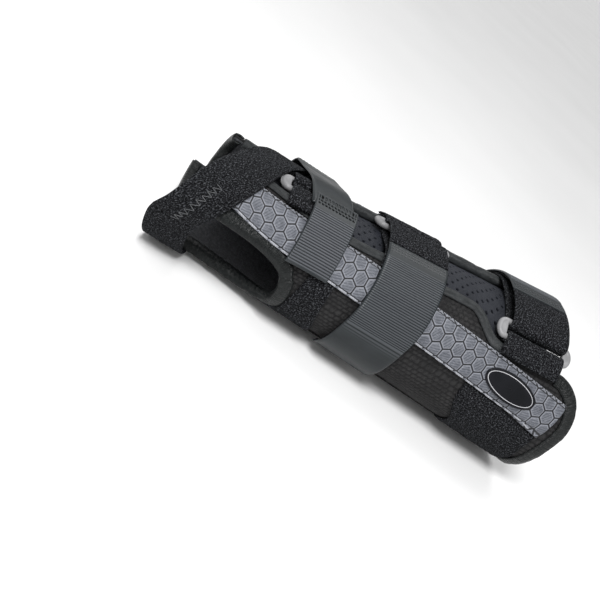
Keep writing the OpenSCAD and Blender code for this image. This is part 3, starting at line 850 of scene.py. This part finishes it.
def stay_cover(name, node, mirrored):
    """Hexagon fabric over a stay: each hexagon is padded, and both long edges are turned and sewn."""
    low, high = box(node)
    s = spaced(low[0], high[0], 0.42)
    v = spaced(-COVER_W / 2, COVER_W / 2, 0.4)

    def angle(x, v):
        """The angle of a place v mm across the cover from its middle."""
        a = cover_a(x) + v / per_deg(x, cover_a(x))
        return 180 - a if mirrored else a

    x, w = s[:, None] + 0 * v, v + 0 * s[:, None]
    a = angle(x, v)
    crown = 4.35 + 1.2 * (1 - np.abs(v / (COVER_W / 2)) ** 3.5)
    puff = 0.42 * (1 - np.exp(-np.maximum(0, hex_depth(x, w) - 0.03) / 0.09))
    edge = COVER_W / 2 - np.abs(w)
    turned = 0.4 * np.exp(-((edge - 0.7) / 0.5) ** 2)
    ends = np.minimum(x - low[0], high[0] - x)
    top = crown + np.where(edge > 1.5, puff, 0.05) + turned + 0.06 * noise(x, w, 1.3, 21)
    top = top - edge_fall(edge, 0.9, 0.7) - edge_fall(ends, 0.9, 0.7)
    bottom = np.minimum(top - 0.3, np.minimum(crown - 0.5, COVER_IN))
    piece = slab(name, skin(x, a, top), skin(x, a, bottom), HEXAGON, x, w)
    put(piece, "brace", "hexagon_fabric", node)
    declare(skin(x, a, COVER_IN))

    def row(v, off, pitch, length, slant):
        xs = spaced(low[0] + 1, high[0] - 1, 1.0)
        return sleeve_row(xs, angle(xs, v), off, pitch, length, slant)

    inset = COVER_W / 2 - 0.8
    zigzag = join_rows(row(inset, 4.72, 1.8, 0.9, 1.4), row(inset, 4.72, 1.8, 0.9, -1.4))
    sew(name + "_zigzag", zigzag, 0.2, PALE_THREAD, "hexagon_fabric")
    welt = row(-inset, 4.5, HEX_PITCH, HEX_PITCH - 0.5, 0)
    sew(name + "_welt", welt, 0.62, PALE_THREAD, "hexagon_fabric")
    inner = join_rows(row(-inset + 1, 4.95, 1.7, 0.9, 0.5), row(inset - 1, 4.95, 1.7, 0.9, -0.5))
    sew(name + "_seam", inner, 0.16, BLACK_THREAD, "hexagon_fabric")


stay_cover("radial_stay_hexagons", "radial_stay_cover", False)
stay_cover("ulnar_stay_hexagons", "ulnar_stay_cover", True)
for node, look in (("radial_stay", STAY_PLASTIC), ("ulnar_stay", STAY_PLASTIC), ("volar_stay", METAL)):
    materials = frame["nodes"][node].data.materials
    materials.clear()
    materials.append(look)


# ---- palm stay pocket


def pocket():
    """A flat sewn sleeve for the palm stay, open at the elbow end."""
    low, high = box("volar_stay_pocket")
    half, tall = high[1], high[2]
    slot_half, slot_low, slot_high = box("volar_stay")[1][1] + 0.3, 0.6, 2.7
    count = 72
    t = np.linspace(0, 2 * math.pi, count, endpoint=False)

    def ring(half_w, low_z, high_z, power):
        c, s = np.cos(t), np.sin(t)
        y = half_w * powered(c, power * 0.35)
        return y, (low_z + high_z) / 2 + (high_z - low_z) / 2 * powered(s, power)

    xs = spaced(low[0], high[0], 1.2)
    outer_y, outer_z = ring(half, 0, tall, 0.35)
    inner_y, inner_z = ring(slot_half, slot_low, slot_high, 0.3)
    shut = ease((xs - low[0]) / 3)
    wave = 0.12 * noise(xs[:, None], outer_y + 40, 6, 33) * (outer_z > 1.6)
    seam = 0.5 * np.exp(-((np.abs(outer_y) - half + 2.2) / 0.7) ** 2) * (outer_z > 1.2)
    squeeze = np.where(shut > 0.99, 1, 0.55 + 0.45 * shut)[:, None]
    outer = points_of(xs[:, None], outer_y * mix(0.93, 1, shut)[:, None], outer_z * squeeze + wave - seam)
    hollow = xs[xs > low[0] + 3]
    inner = points_of(hollow[:, None], inner_y, inner_z)
    points = join([outer, inner[::-1]]).reshape(-1, 3)
    faces = ring_faces(len(xs) + len(hollow), count)[:, ::-1]
    u, v = points[:, 0], points[:, 1]
    # The weave gaps also darken the mesh's colour: painted shade.
    piece = mesh_piece("palm_stay_sleeve", points, faces, MESH, u, v, weave_gaps(u, v))
    made = bmesh.new()
    made.from_mesh(piece.data)
    bmesh.ops.holes_fill(made, edges=[e for e in made.edges if e.is_boundary], sides=0)
    bmesh.ops.recalc_face_normals(made, faces=made.faces)
    made.to_mesh(piece.data)
    made.free()
    put(piece, "brace", "spacer_mesh", "volar_stay_pocket")


pocket()


# ---- badge


def badge():
    """A plain domed oval with a raised rim and one pale line."""
    low, high = box("badge")
    centre_x = (low[0] + high[0]) / 2
    long, wide = 33 / 2, 15 / 2
    a = cover_a(centre_x)
    p = skin(centre_x, a, COVER_OUT - 0.1)
    ends = np.array([centre_x - 15, centre_x + 15])
    ex = unit(np.diff(skin(ends, cover_a(ends), OVER_COVER), axis=0)[0])
    across = skin(centre_x, a + 5, OVER_COVER) - skin(centre_x, a - 5, OVER_COVER)
    ey = unit(across - (across @ ex) * ex)
    ez = np.cross(ex, ey)
    count = 96
    g = np.linspace(0, 2 * math.pi, count, endpoint=False)

    def ovals(profile):
        return stack([p + ex * (share * (long - inset) * np.cos(g))[:, None]
                      + ey * (share * (wide - inset) * np.sin(g))[:, None] + ez * height
                      for inset, share, height in profile])

    def solid(name, profile, look):
        points = ovals(profile).reshape(-1, 3)
        return mesh_piece(name, points, ring_faces(len(profile), count), look, points[:, 0], points[:, 1])

    rim = [(0.25, 1, -0.5), (0.0, 1, -0.2), (0.0, 1, 0.75), (0.15, 1, 1.0), (0.5, 1, 1.12), (0.85, 1, 1.0),
           (1.0, 1, 0.8)]
    dome = [(1.0, 1 - t, 0.8 + 0.32 * (1 - (1 - t) ** 2)) for t in np.linspace(0.04, 0.99, 12)]
    under = [(1.0, 0.01, -0.5), (1.0, 0.5, -0.5)]
    piece = solid("badge_oval", rim + dome + under + rim[:1], BADGE)
    put(piece, "brace", "badge_plastic", "badge")
    line = [(inset, 1, height) for inset, height in (
        (1.35, 0.7), (1.3, 0.98), (1.4, 1.04), (1.6, 1.04), (1.7, 0.98), (1.65, 0.7), (1.35, 0.7))]
    put(solid("badge_line_ring", line, BADGE_LINE), "brace", "badge_plastic")


badge()


# ---- loop patches


def pile_relief(u, v, seed, height=0.24):
    loops = 0.6 * noise(u, v, 1.1, seed) + 0.6 * noise(u, v, 0.6, seed + 1)
    return height * (loops + 0.25 * noise(u, v, 4, seed + 2))


def patch(name, node, corners, seed):
    """A patch of loop pile on the sleeve. corners(s, t) gives x and the angle for s and t, 0 to 1."""
    count = 110
    s, t = np.meshgrid(np.linspace(0, 1, count), np.linspace(0, 1, count), indexing="ij")
    x, a = corners(s, t)
    grid = skin(x, a, PATCH_IN)
    u = join([np.zeros((1, count)), np.cumsum(spacing(grid), 0)])
    v = join([np.zeros((count, 1)), np.cumsum(spacing(grid, 1), 1)], 1)
    edge = np.minimum.reduce([u, u[-1:] - u, v, v[:, -1:] - v])
    top = PATCH_OUT + 0.35 + pile_relief(u, v, seed) * ease(edge / 1.5) - edge_fall(edge, 0.9, 1.3)
    piece = slab(name, skin(x, a, top), skin(x, a, PATCH_IN - 0.2), PILE, u, v)
    put(piece, "brace", "loop_fabric", node)
    declare(grid)


def wrist_corners(s, t):
    a = mix(-64.0, 17.0, t)
    left = -8 - 14 * ease((-30 - a) / 30)
    right = 15 - 9 * ease((a + 55) / 72)
    return mix(left, right, s), a


def forearm_corners(s, t):
    near = mix(-62.0, 4.0, t)
    left = 107 - 14 * ease((near + 40) / 45)
    right = 149 - 3 * ease((near + 30) / 30)
    x = mix(left, right, s)
    top = cover_a(x) - cover_half(x) - 0.8
    return x, mix(-62.0, top, t)


patch("wrist_pile", "wrist_loop_patch", wrist_corners, 61)
patch("forearm_pile", "forearm_loop_patch", forearm_corners, 71)


# ---- straps


def turn(a, off, r, start, end, x, w):
    """A path round a bar at (x, a, off), from one turn to another in degrees."""
    g = np.radians(np.linspace(start, end, 12))
    k = per_deg(x, a, off)
    return [(a + r * c / k, off + r * s, x, w) for c, s in zip(np.cos(g), np.sin(g))]


def placed(pairs, x, w):
    return [(a, off, x, w) for a, off in pairs]


def fold(ring, w):
    """Round a ring's strap bar, from under it to over it."""
    x, a, toward, off = ring
    under = 270 if toward > 0 else -90
    return turn(strap_bar(x, a, toward, off), off, RING_R + 1.1 + STRAP_T / 2, under, 90, x, w)


class Strap:
    """A band that follows a path of (angle, height, middle x, width)."""

    def __init__(self, path, step=0.6):
        p = np.array(path, float)
        k = per_deg(p[:, 2], p[:, 0], p[:, 1])
        legs = np.diff(p[:, :3], axis=0)
        legs[:, 0] *= (k[1:] + k[:-1]) / 2
        d = np.linalg.norm(legs, axis=-1)
        knots = sums(d)
        slope = np.diff(p, axis=0) / d[:, None]
        m = join([slope[:1], slope[:1], slope[1:]])
        m[1:-1] = (slope[:-1] * d[1:, None] + slope[1:] * d[:-1, None]) / (d[1:] + d[:-1])[:, None]
        self.s = spaced(0, knots[-1], step)
        i = np.clip(np.searchsorted(knots, self.s, side="right") - 1, 0, len(d) - 1)
        h = d[i][:, None]
        f = ((self.s - knots[i]) / d[i])[:, None]
        self.line = ((2 * f ** 3 - 3 * f ** 2 + 1) * p[i] + (f ** 3 - 2 * f ** 2 + f) * h * m[i]
                     + (3 * f ** 2 - 2 * f ** 3) * p[i + 1] + (f ** 3 - f ** 2) * h * m[i + 1])
        self.length = knots[-1]

    def grid(self, s, v):
        """Points for places s along the band and v across it, in mm, and their normals, which
        point away from the arm where the band lies flat."""
        a, off, x = (np.interp(s, self.s, self.line[:, c]) for c in range(3))
        eps = 0.05
        near = [skin(x + v, np.interp(q, self.s, self.line[:, 0]), np.interp(q, self.s, self.line[:, 1]))
                for q in (np.clip(s - eps, 0, self.length), np.clip(s + eps, 0, self.length))]
        middle = skin(x + v, a, off)
        across = skin(x + v + 0.5, a, off) - skin(x + v - 0.5, a, off)
        n = unit(np.cross(near[1] - near[0], across))
        direction = np.sign(self.line[1, 0] - self.line[0, 0])
        return middle, n * -direction

    def surface(self, across):
        width = self.line[:, 3].max()
        t = spaced(-0.5, 0.5, across / width)
        s = self.s[:, None] + 0 * t
        v = t * self.line[:, 3][:, None]
        return s, v, *self.grid(s, v)

    def cross_row(self, half, s, pitch, length, height):
        """Stitches across the band at s, half to each side of its middle."""
        v = np.arange(-half, half - length, pitch)
        s = s + 0 * v
        (p, n), (q, _) = self.grid(s, v), self.grid(s, v + length)
        return p + n * height, q + n * height, n


def band(name, strap, thick, look, relief, slot_name, body, nodes, across=0.6,
         shade=None, back=None):
    """A strap's cloth. relief(s, v) raises its face, and back(s, v) its other side."""
    s, v, middle, n = strap.surface(across)
    edge = np.minimum(np.minimum(s, strap.length - s), strap.line[:, 3][:, None] / 2 - np.abs(v))
    fall = edge_fall(edge, thick * 0.45, 0.7)
    face = thick / 2 + relief(s, v) * ease(edge / 0.8) - fall
    under = thick / 2 + (back(s, v) * ease(edge / 0.8) if back else 0) - fall
    piece = slab(name, middle + n * face[..., None], middle - n * under[..., None], look, s, v,
                 None if shade is None else shade(s, v))
    if body:
        put(piece, body, slot_name, *nodes)
    else:
        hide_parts(*nodes)
    declare(middle)
    return piece


def pile_band(name, path, node, seed, thick=STRAP_T, crown=None):
    strap = Strap(path, 0.5)

    def face(s, v):
        return pile_relief(s, v, seed) + (crown(strap, s, v) if crown else 0)

    return band(name, strap, thick, PILE, face, "loop_fabric", "brace", [node], 0.5,
                back=lambda s, v: pile_relief(s, v, seed + 3)), strap


WEB_TURN_X, WEB_W = -79, 22
HAND_BAR = strap_bar(*HAND_RING)


def web_x(a):
    past = WEB_TURN_X + (HAND_X - WEB_TURN_X) * min(1, max(0, a) / HAND_BAR) ** 1.4
    return past if a > 0 else WEB_TURN_X + 0.0018 * a * a


WEB_PATH = [
    (-104, 5), (-90, 5), (-76, 5), (-62, 5), (-48, 2.4), (-34, -0.5), (-20, -2.5), (-5, -1.6), (8, 2),
    (20, 5.6), (32, 6.8), (45, 6.8), (58, 6.8), (70, 6.4), (82, 5.8), (94, 5.8), (106, 5.4), (118, 5.2),
    (130, 5.2), (140, 5.3)]
web_path = [(a, off, web_x(a), 23 + 4 * math.exp(-((a - 55) / 28) ** 2)) for a, off in WEB_PATH]
web_path += fold(HAND_RING, WEB_W) + placed([(142, 11.8), (135, 10.4)], HAND_X, WEB_W)


def web_crown(strap, s, v):
    """The strap is rolled and padded where it passes the thumb's web."""
    a, w = (np.interp(s, strap.s, strap.line[:, c]) for c in (0, 3))
    padded = ease((a + 60) / 50) * (1 - ease((a - 75) / 30)) * (s < strap.length / 2 + 60)
    return padded * (1.5 * np.maximum(0, 1 - (2 * v / w) ** 2) - 0.2 * np.exp(-(v / 1.8) ** 2))


_, web = pile_band("web_pile_strap", web_path, "web_strap", 81, crown=web_crown)
zig_s = np.interp((2, 78), web.line[:len(web.s) // 2, 0], web.s[:len(web.s) // 2])
zig = np.arange(zig_s[0], zig_s[1], 1.5)
zig_v = np.where(np.arange(len(zig)) % 2 == 0, -1.9, 1.9)
(zig_p, zig_up), zig_h = web.grid(zig, zig_v), STRAP_T / 2 + web_crown(web, zig, zig_v) + 0.05
zig_p = zig_p + zig_up * zig_h[:, None]
sew("web_zigzag", (zig_p[:-1], zig_p[1:], zig_up[:-1]), 0.16, GREY_THREAD, "loop_fabric")

wrist_path = placed([(113, -0.1), (105, -0.1), (98, -0.1)], WRIST_X, NARROW_W) + fold(WRIST_RING, NARROW_W)
wrist_path += placed([(95, 5.2), (99, 3.2), (104, 2.1), (113, 1.9)], WRIST_X, NARROW_W)
pile_band("wrist_pile_strap", wrist_path, "wrist_strap", 91)

middle_path = placed([(51, 5.2), (57, 5.2), (64, 5), (72, 3.4), (82, 1.2), (92, 0)], MIDDLE_X, WIDE_W)
middle_path += fold(MIDDLE_RING, WIDE_W) + placed([(88, 6.7), (80, 6.7), (73, 6.7)], MIDDLE_X, WIDE_W)
pile_band("middle_pile_strap", middle_path, "middle_strap", 101)

FOREARM_SEWN = [(128, 5.2), (119, 5.1), (110, 3.6), (98, 1.4), (86, 0.1), (76, -0.1), (68, -0.1)]
forearm_path = placed(FOREARM_SEWN, FOREARM_X, WIDE_W)
forearm_path += fold(FOREARM_RING, WIDE_W) + placed([(70, 6.7), (80, 6.7), (90.5, 6.7)], FOREARM_X, WIDE_W)
pile_band("forearm_pile_strap", forearm_path, "forearm_strap", 111)


def anchor_path(ring, w, sewn_a):
    """The folded tab round a ring's anchor bar."""
    x, a, toward, off = ring
    loop_r = RING_R + 0.6 + ANCHOR_T / 2
    neck = a - toward * (loop_r + 0.5) / per_deg(x, a, off)
    base = TAPE_OUT + 0.3 + ANCHOR_T / 2
    low = max(base, off - 1.4 + ANCHOR_T / 2)
    half = (sewn_a + neck) / 2
    step = ANCHOR_T + 0.3
    lower = [(sewn_a, base), (half, (base + low) / 2), (neck, low)]
    upper = [(neck, low + step), (half, (base + low) / 2 + step), (sewn_a, base + step)]
    start, end = (185, 450) if toward > 0 else (-5, -270)
    return placed(lower, x, w) + turn(a, off, loop_r, start, end, x, w) + placed(upper, x, w)


for name, ring, w, sewn_a, seed in (
        ("hand", HAND_RING, NARROW_W, 200, 121), ("wrist", WRIST_RING, NARROW_W, 59.5, 131),
        ("middle", MIDDLE_RING, WIDE_W, 129.5, 141), ("forearm", FOREARM_RING, WIDE_W, 35.5, 151)):
    path = anchor_path(ring, w, sewn_a)
    _, strap = pile_band(name + "_anchor_pile", path, name + "_ring_anchor", seed, ANCHOR_T)
    rows = [strap.cross_row(w / 2 - 1.5, strap.length - d, 2.4, 1.7, ANCHOR_T / 2 + 0.25)
            for d in (2.2, 5.2)]
    sew(name + "_anchor_stitches", join_rows(*rows), 0.2, BLACK_THREAD, "loop_fabric")


# ---- smooth straps and tabs


def ribs(s, pitch, height):
    return height * (np.abs(np.cos(math.pi * s / pitch)) ** 1.2 - 0.3)


def groove_shade(s, pitch):
    """How much painted shade darkens the hollows between the ribs."""
    return 0.75 * (1 - np.abs(np.cos(math.pi * s / pitch))) ** 1.5


def soft_step(t, at, reach=0.25):
    return ease((t - at) / reach + 0.5)


def slots(s, v, start, long, wide, shift, pitch=2.0):
    """1 inside a row of slots that start at s and repeat across the band."""
    across = np.abs((v / pitch + shift) % 1 - 0.5) * pitch
    inside = soft_step(s, start) * (1 - soft_step(s, start + long)) * (1 - soft_step(across, wide / 2, 0.2))
    return inside * (np.abs(v) < NARROW_W / 2 - 1.2)


HAND_LAP = 8.5


def hand_seam(s, v):
    """The slots sewn through the hand tab, a long row and two short ones; they are sunk and painted near
    black as shade.
    """
    rows = ((1.4, 2.9, 1.15, 0), (5.1, 1.1, 1.2, 0), (7.1, 1.1, 1.2, 0.5))
    return np.maximum.reduce([slots(s, v, *row) for row in rows])


HAND_RIB = 1.4


def hand_ribbed(s, v):
    """Where the hand tab is ribbed, and its place past the first rib."""
    start, end = HAND_LAP + 3.2, hand_strap.length - 1.6
    ribbed = soft_step(s, start, 0.8) * (1 - soft_step(s, end, 0.8)) * (np.abs(v) < NARROW_W / 2 - 0.5)
    return ribbed, s - start


def hand_relief(s, v):
    ribbed, along = hand_ribbed(s, v)
    return ribs(along, HAND_RIB, 0.36) * ribbed - 0.55 * hand_seam(s, v) + 0.05 * noise(s, v, 9, 161)


# Painted shade in the slots and between the ribs, painted highlight on the rib crests.
def hand_shade(s, v):
    ribbed, along = hand_ribbed(s, v)
    return np.maximum(hand_seam(s, v), mix(SMOOTH, groove_shade(along, HAND_RIB), ribbed))


def hinge(joint):
    """A joint's place and axis."""
    found = next(j for j in frame["joints"] if j["name"] == joint)
    return Vector(found["pos_m"]), Vector(found["axis"]).normalized()


def peel(piece, name, strap):
    """Finds the tab's joint and its direction past the joint, then bakes the piece's placement into its
    mesh.
    """
    place, axis = hinge(name + "_tab_peel")
    run = Vector(ahead_point(strap, place)) - place
    run = (run - run.dot(axis) * axis).normalized()
    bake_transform(piece)


def tab(name, strap, relief, shade, across, look=STRAP):
    piece = band(name + "_ribbed_tab", strap, STRAP_T, look, relief, "smooth_strap", None, [name + "_tab"],
                 across, shade=shade)
    peel(piece, name, strap)


def ahead_point(strap, place, ahead=14):
    """A point on the tab ahead mm past its joint's place."""
    middle, _ = strap.grid(strap.s, 0 * strap.s)
    far = np.linalg.norm(middle - np.array(place) * MM, axis=-1)
    nearest = far.argmin()
    past = min(len(far) - 1, nearest + int(ahead / (strap.s[1] - strap.s[0])))
    return middle[past] / MM


def hook_band(name, path, first, x, w, tab_strap):
    """The hook sheet under a tab, from the path's point number first on."""
    drop = STRAP_T / 2 + 0.1 + HOOK_T / 2
    strap = Strap(placed([(a, off - drop) for a, off in path[first:]], x, w - 2), 0.5)
    down = lambda s, v: 0 * s
    knobs = lambda s, v: 0.35 * np.maximum(0, np.cos(s * 3.3)) * np.maximum(0, np.cos(v * 3.3))
    piece = band(name + "_hooks", strap, HOOK_T, HOOK, down, "hook_sheet", None, [name + "_tab_hook"], 0.6,
                 back=knobs)
    peel(piece, name, tab_strap)


# Hand strap: the smooth return from the hidden ring, then the tab that is sewn over it
RETURN_LINE = [(134.2, 10.2), (127, 8.6), (120, 7.5), (108, 7.2), (98, 8), (90, 8.5), (80, 8.5),
               (72, 8.5), (68.5, 8.2)]
RETURN_PATH = [(a, off, mix(HAND_X + 7, HAND_X, (a - 66.5) / 67.7), NARROW_W) for a, off in RETURN_LINE]
band("hand_return_strap", Strap(RETURN_PATH), STRAP_T, STRAP, lambda s, v: 0.08 * noise(s, v, 11, 171),
     "smooth_strap", "brace", ["hand_strap_return"], 1.0, shade=lambda s, v: SMOOTH + 0 * s)
HAND_TAB_X = middle_x("hand_tab")
HAND_TAB = [(65.8, 8.5), (60, 8.7), (55, 8.5), (49, 7.7), (42, 7.5), (34, 7.5), (26, 7.5), (17, 7.4)]
hand_strap = Strap(placed([(78.5, 9.0), (72, 9.1), (67, 9.0)] + HAND_TAB[1:], HAND_TAB_X, NARROW_W), 0.2)
tab("hand", hand_strap, hand_relief, hand_shade, 0.22, LIT_HAND_STRAP)
hook_band("hand", HAND_TAB, 3, HAND_TAB_X, NARROW_W, hand_strap)


def wide_tab(name, path, first, x, seam, smooth_end, rib):
    """A tab with three rows of stitches at its seam, then fine ribs and a smooth end."""
    strap = Strap(placed(path, x, WIDE_W), rib / 7)
    start, end = seam + 2.5, strap.length - smooth_end

    def ribbed(s, v):
        return soft_step(s, start, 1.5) * (1 - soft_step(s, end, 6)) * (np.abs(v) < WIDE_W / 2 - 0.4)

    def relief(s, v):
        rim = 0.12 * (soft_step(s, 0.8, 0.4) - soft_step(s, 2.0, 0.4))
        return ribs(s - start, rib, 0.32) * ribbed(s, v) + rim + 0.06 * noise(s, v, 12, 181)

    # Painted highlight on the rib crests and painted shade between the ribs.
    def shade(s, v):
        return mix(SMOOTH, groove_shade(s - start, rib), ribbed(s, v))

    tab(name, strap, relief, shade, 1.0)
    rows = [strap.cross_row(WIDE_W / 2 - 1.5, d, 1.9, 1.3, STRAP_T / 2 + 0.05) for d in (2.6, 4.4, 6.2)]
    thread = stitches(name + "_tab_stitches", *join_rows(*rows), 0.17, GREY_THREAD)
    peel(thread, name, strap)
    hook_band(name, path, first, x, WIDE_W, strap)


MIDDLE_TAB = [(72.2, 6.8), (66, 7.4), (58, 7.5), (50, 7.6), (42, 7.6), (34, 7.6), (26, 7.6), (18, 7.6),
              (10, 7.4), (2, 6.8), (-8, 6.2), (-20, 6), (-35, 6), (-50, 6)]
FOREARM_TAB = [(91.3, 6.8), (98, 7.1), (106, 7.5), (115, 7.7), (125, 7.7), (135, 7.7), (145, 7.7),
               (155, 7.7), (165, 7.7), (175, 7.7)]
wide_tab("middle", MIDDLE_TAB, 1, MIDDLE_X, 7.5, 30, 1.25)
wide_tab("forearm", FOREARM_TAB, 2, FOREARM_X, 7.5, 12, 1.2)


# ---- rings


def ring_piece(name, ring, slot_len):
    """A moulded loop of round bar with flattened faces and a faint parting line."""
    x, a, toward, off = ring
    b = strap_bar(x, a, toward, off)
    p, q = skin(x, a, off), skin(x, b, off)
    ex = unit(skin(x + 15, (a + b) / 2, off) - skin(x - 15, (a + b) / 2, off))
    ey = unit((q - p) - ((q - p) @ ex) * ex)
    ez = np.cross(ex, ey)
    half, r, flatter = slot_len / 2, RING_GAP / 2, 0.72
    g = np.radians(np.linspace(-90, 90, 33))
    right = points_of(half + flatter * r * np.cos(g), r + r * np.sin(g))
    left = points_of(-half - flatter * r * np.cos(g), r - r * np.sin(g))
    straight = spaced(-half, half, 2)[1:-1]
    line = join([right, points_of(straight[::-1], 2 * r), left, points_of(straight, 0)])
    tangent = unit(np.roll(line, -1, 0) - np.roll(line, 1, 0))
    out = points_of(tangent[:, 1], -tangent[:, 0])
    count = 40
    t = np.linspace(0, 2 * math.pi, count, endpoint=False)
    parting = 0.05 * (np.exp(-(t / 0.12) ** 2) + np.exp(-((t - math.pi) / 0.12) ** 2))
    wide = RING_R * (powered(np.cos(t), 0.92) + np.sign(np.cos(t)) * parting)
    tall = RING_R * powered(np.sin(t), 0.92)
    flat = line[:, None] + out[:, None] * wide[:, None]
    points = p + flat[..., :1] * ex + flat[..., 1:] * ey + tall[:, None] * ez
    faces = ring_faces(len(line), count, True)[:, ::-1]
    piece = mesh_piece(name + "_loop", points.reshape(-1, 3), faces, RING)
    put(piece, name, "ring_plastic", name)
    into_slot = 0.7
    for end, s in (("_end_a", -1), ("_end_b", 1)):
        reach, turned = np.linspace(0.05, r, 8)[:, None], np.radians(np.linspace(-90, 90, 25))
        x = s * (half - into_slot + (flatter + into_slot / r) * reach * np.cos(turned))
        y = r + reach * np.sin(turned)
        tall = 1.3 + 0.1 * (reach / r) ** 3 + 0 * y
        flat = p + x[..., None] * ex + y[..., None] * ey
        web = slab(name + end, flat + tall[..., None] * ez, flat - tall[..., None] * ez, RING, x, y)
        put(web, name, "ring_plastic")


ring_piece("hand_ring", HAND_RING, NARROW_W + 2)
ring_piece("wrist_ring", WRIST_RING, NARROW_W + 2)
ring_piece("middle_ring", MIDDLE_RING, WIDE_W + 2)
ring_piece("forearm_ring", FOREARM_RING, WIDE_W + 2)


# ---- floor, lights and camera


def floor():
    look = Look("pale_floor", Specular_IOR_Level=0.2)
    grain = look.noise(look.solid(1.0), 6, 3)
    colour = look.tones(grain, (0.87, 0.87, 0.87), (0.9, 0.9, 0.9), 0.3, 0.7)
    bpy.ops.mesh.primitive_grid_add(x_subdivisions=8, y_subdivisions=8, size=60, location=(0, 0, -0.0002))
    plane = bpy.context.object
    plane.name = "floor"
    plane.data.materials.append(look.finish(colour, look.ramp(grain, 0.3, 0.7, 0.7, 0.8)))


def lamp(name, kind, place, target, energy, **values):
    data = bpy.data.lights.new(name, kind)
    data.energy = energy
    for key, value in values.items():
        setattr(data, key, value)
    light = bpy.data.objects.new(name, data)
    light.location = place
    light.rotation_euler = (Vector(target) - Vector(place)).to_track_quat("-Z", "Y").to_euler()
    bpy.context.scene.collection.objects.link(light)


def camera():
    """The photograph's view: from the thumb side, a little above, and rolled."""
    azimuth, elevation, roll = (math.radians(q) for q in (-20.2, 27, 43.5))
    target, distance, lens = Vector((0.030, 0, 0.0397)), 0.482, 53.5
    aim_right, aim_up = 0.0742, 0.0277
    level = math.cos(elevation)
    back = Vector((level * math.sin(azimuth), -level * math.cos(azimuth), math.sin(elevation)))
    right = Vector((math.cos(azimuth), math.sin(azimuth), 0))
    up = back.cross(right)
    side = math.cos(roll) * right + math.sin(roll) * up
    head = -math.sin(roll) * right + math.cos(roll) * up
    data = bpy.data.cameras.new("camera")
    data.lens, data.sensor_width = lens, 36
    data.clip_start, data.clip_end = 0.01, 20
    made = bpy.data.objects.new("camera", data)
    place = target - distance * (aim_right * side + aim_up * head - back)
    rows = [(*axes, at) for axes, at in zip(zip(side, head, back), place)]
    made.matrix_world = Matrix(rows + [(0, 0, 0, 1)])
    bpy.context.scene.collection.objects.link(made)
    bpy.context.scene.camera = made


def studio():
    world = bpy.data.worlds.new("studio")
    world.use_nodes = True
    world.node_tree.nodes["Background"].inputs[0].default_value = (1, 1, 1, 1)
    world.node_tree.nodes["Background"].inputs[1].default_value = 0.34
    bpy.context.scene.world = world
    bpy.context.scene.view_settings.view_transform = "Standard"
    centre = (0.03, 0, 0.04)
    lamp("key", "AREA", (-0.25, -0.5, 0.85), centre, 10, size=0.4)
    lamp("sky", "SUN", (0.13, 0.45, 0.94), centre, 1.0, angle=math.radians(40))
    lamp("fill", "SUN", (0.6, -0.9, 0.4), centre, 0.6, angle=math.radians(60))
    lamp("back", "SUN", (-0.4, 0.8, 0.4), centre, 0.6, angle=math.radians(60))


floor()
studio()
camera()
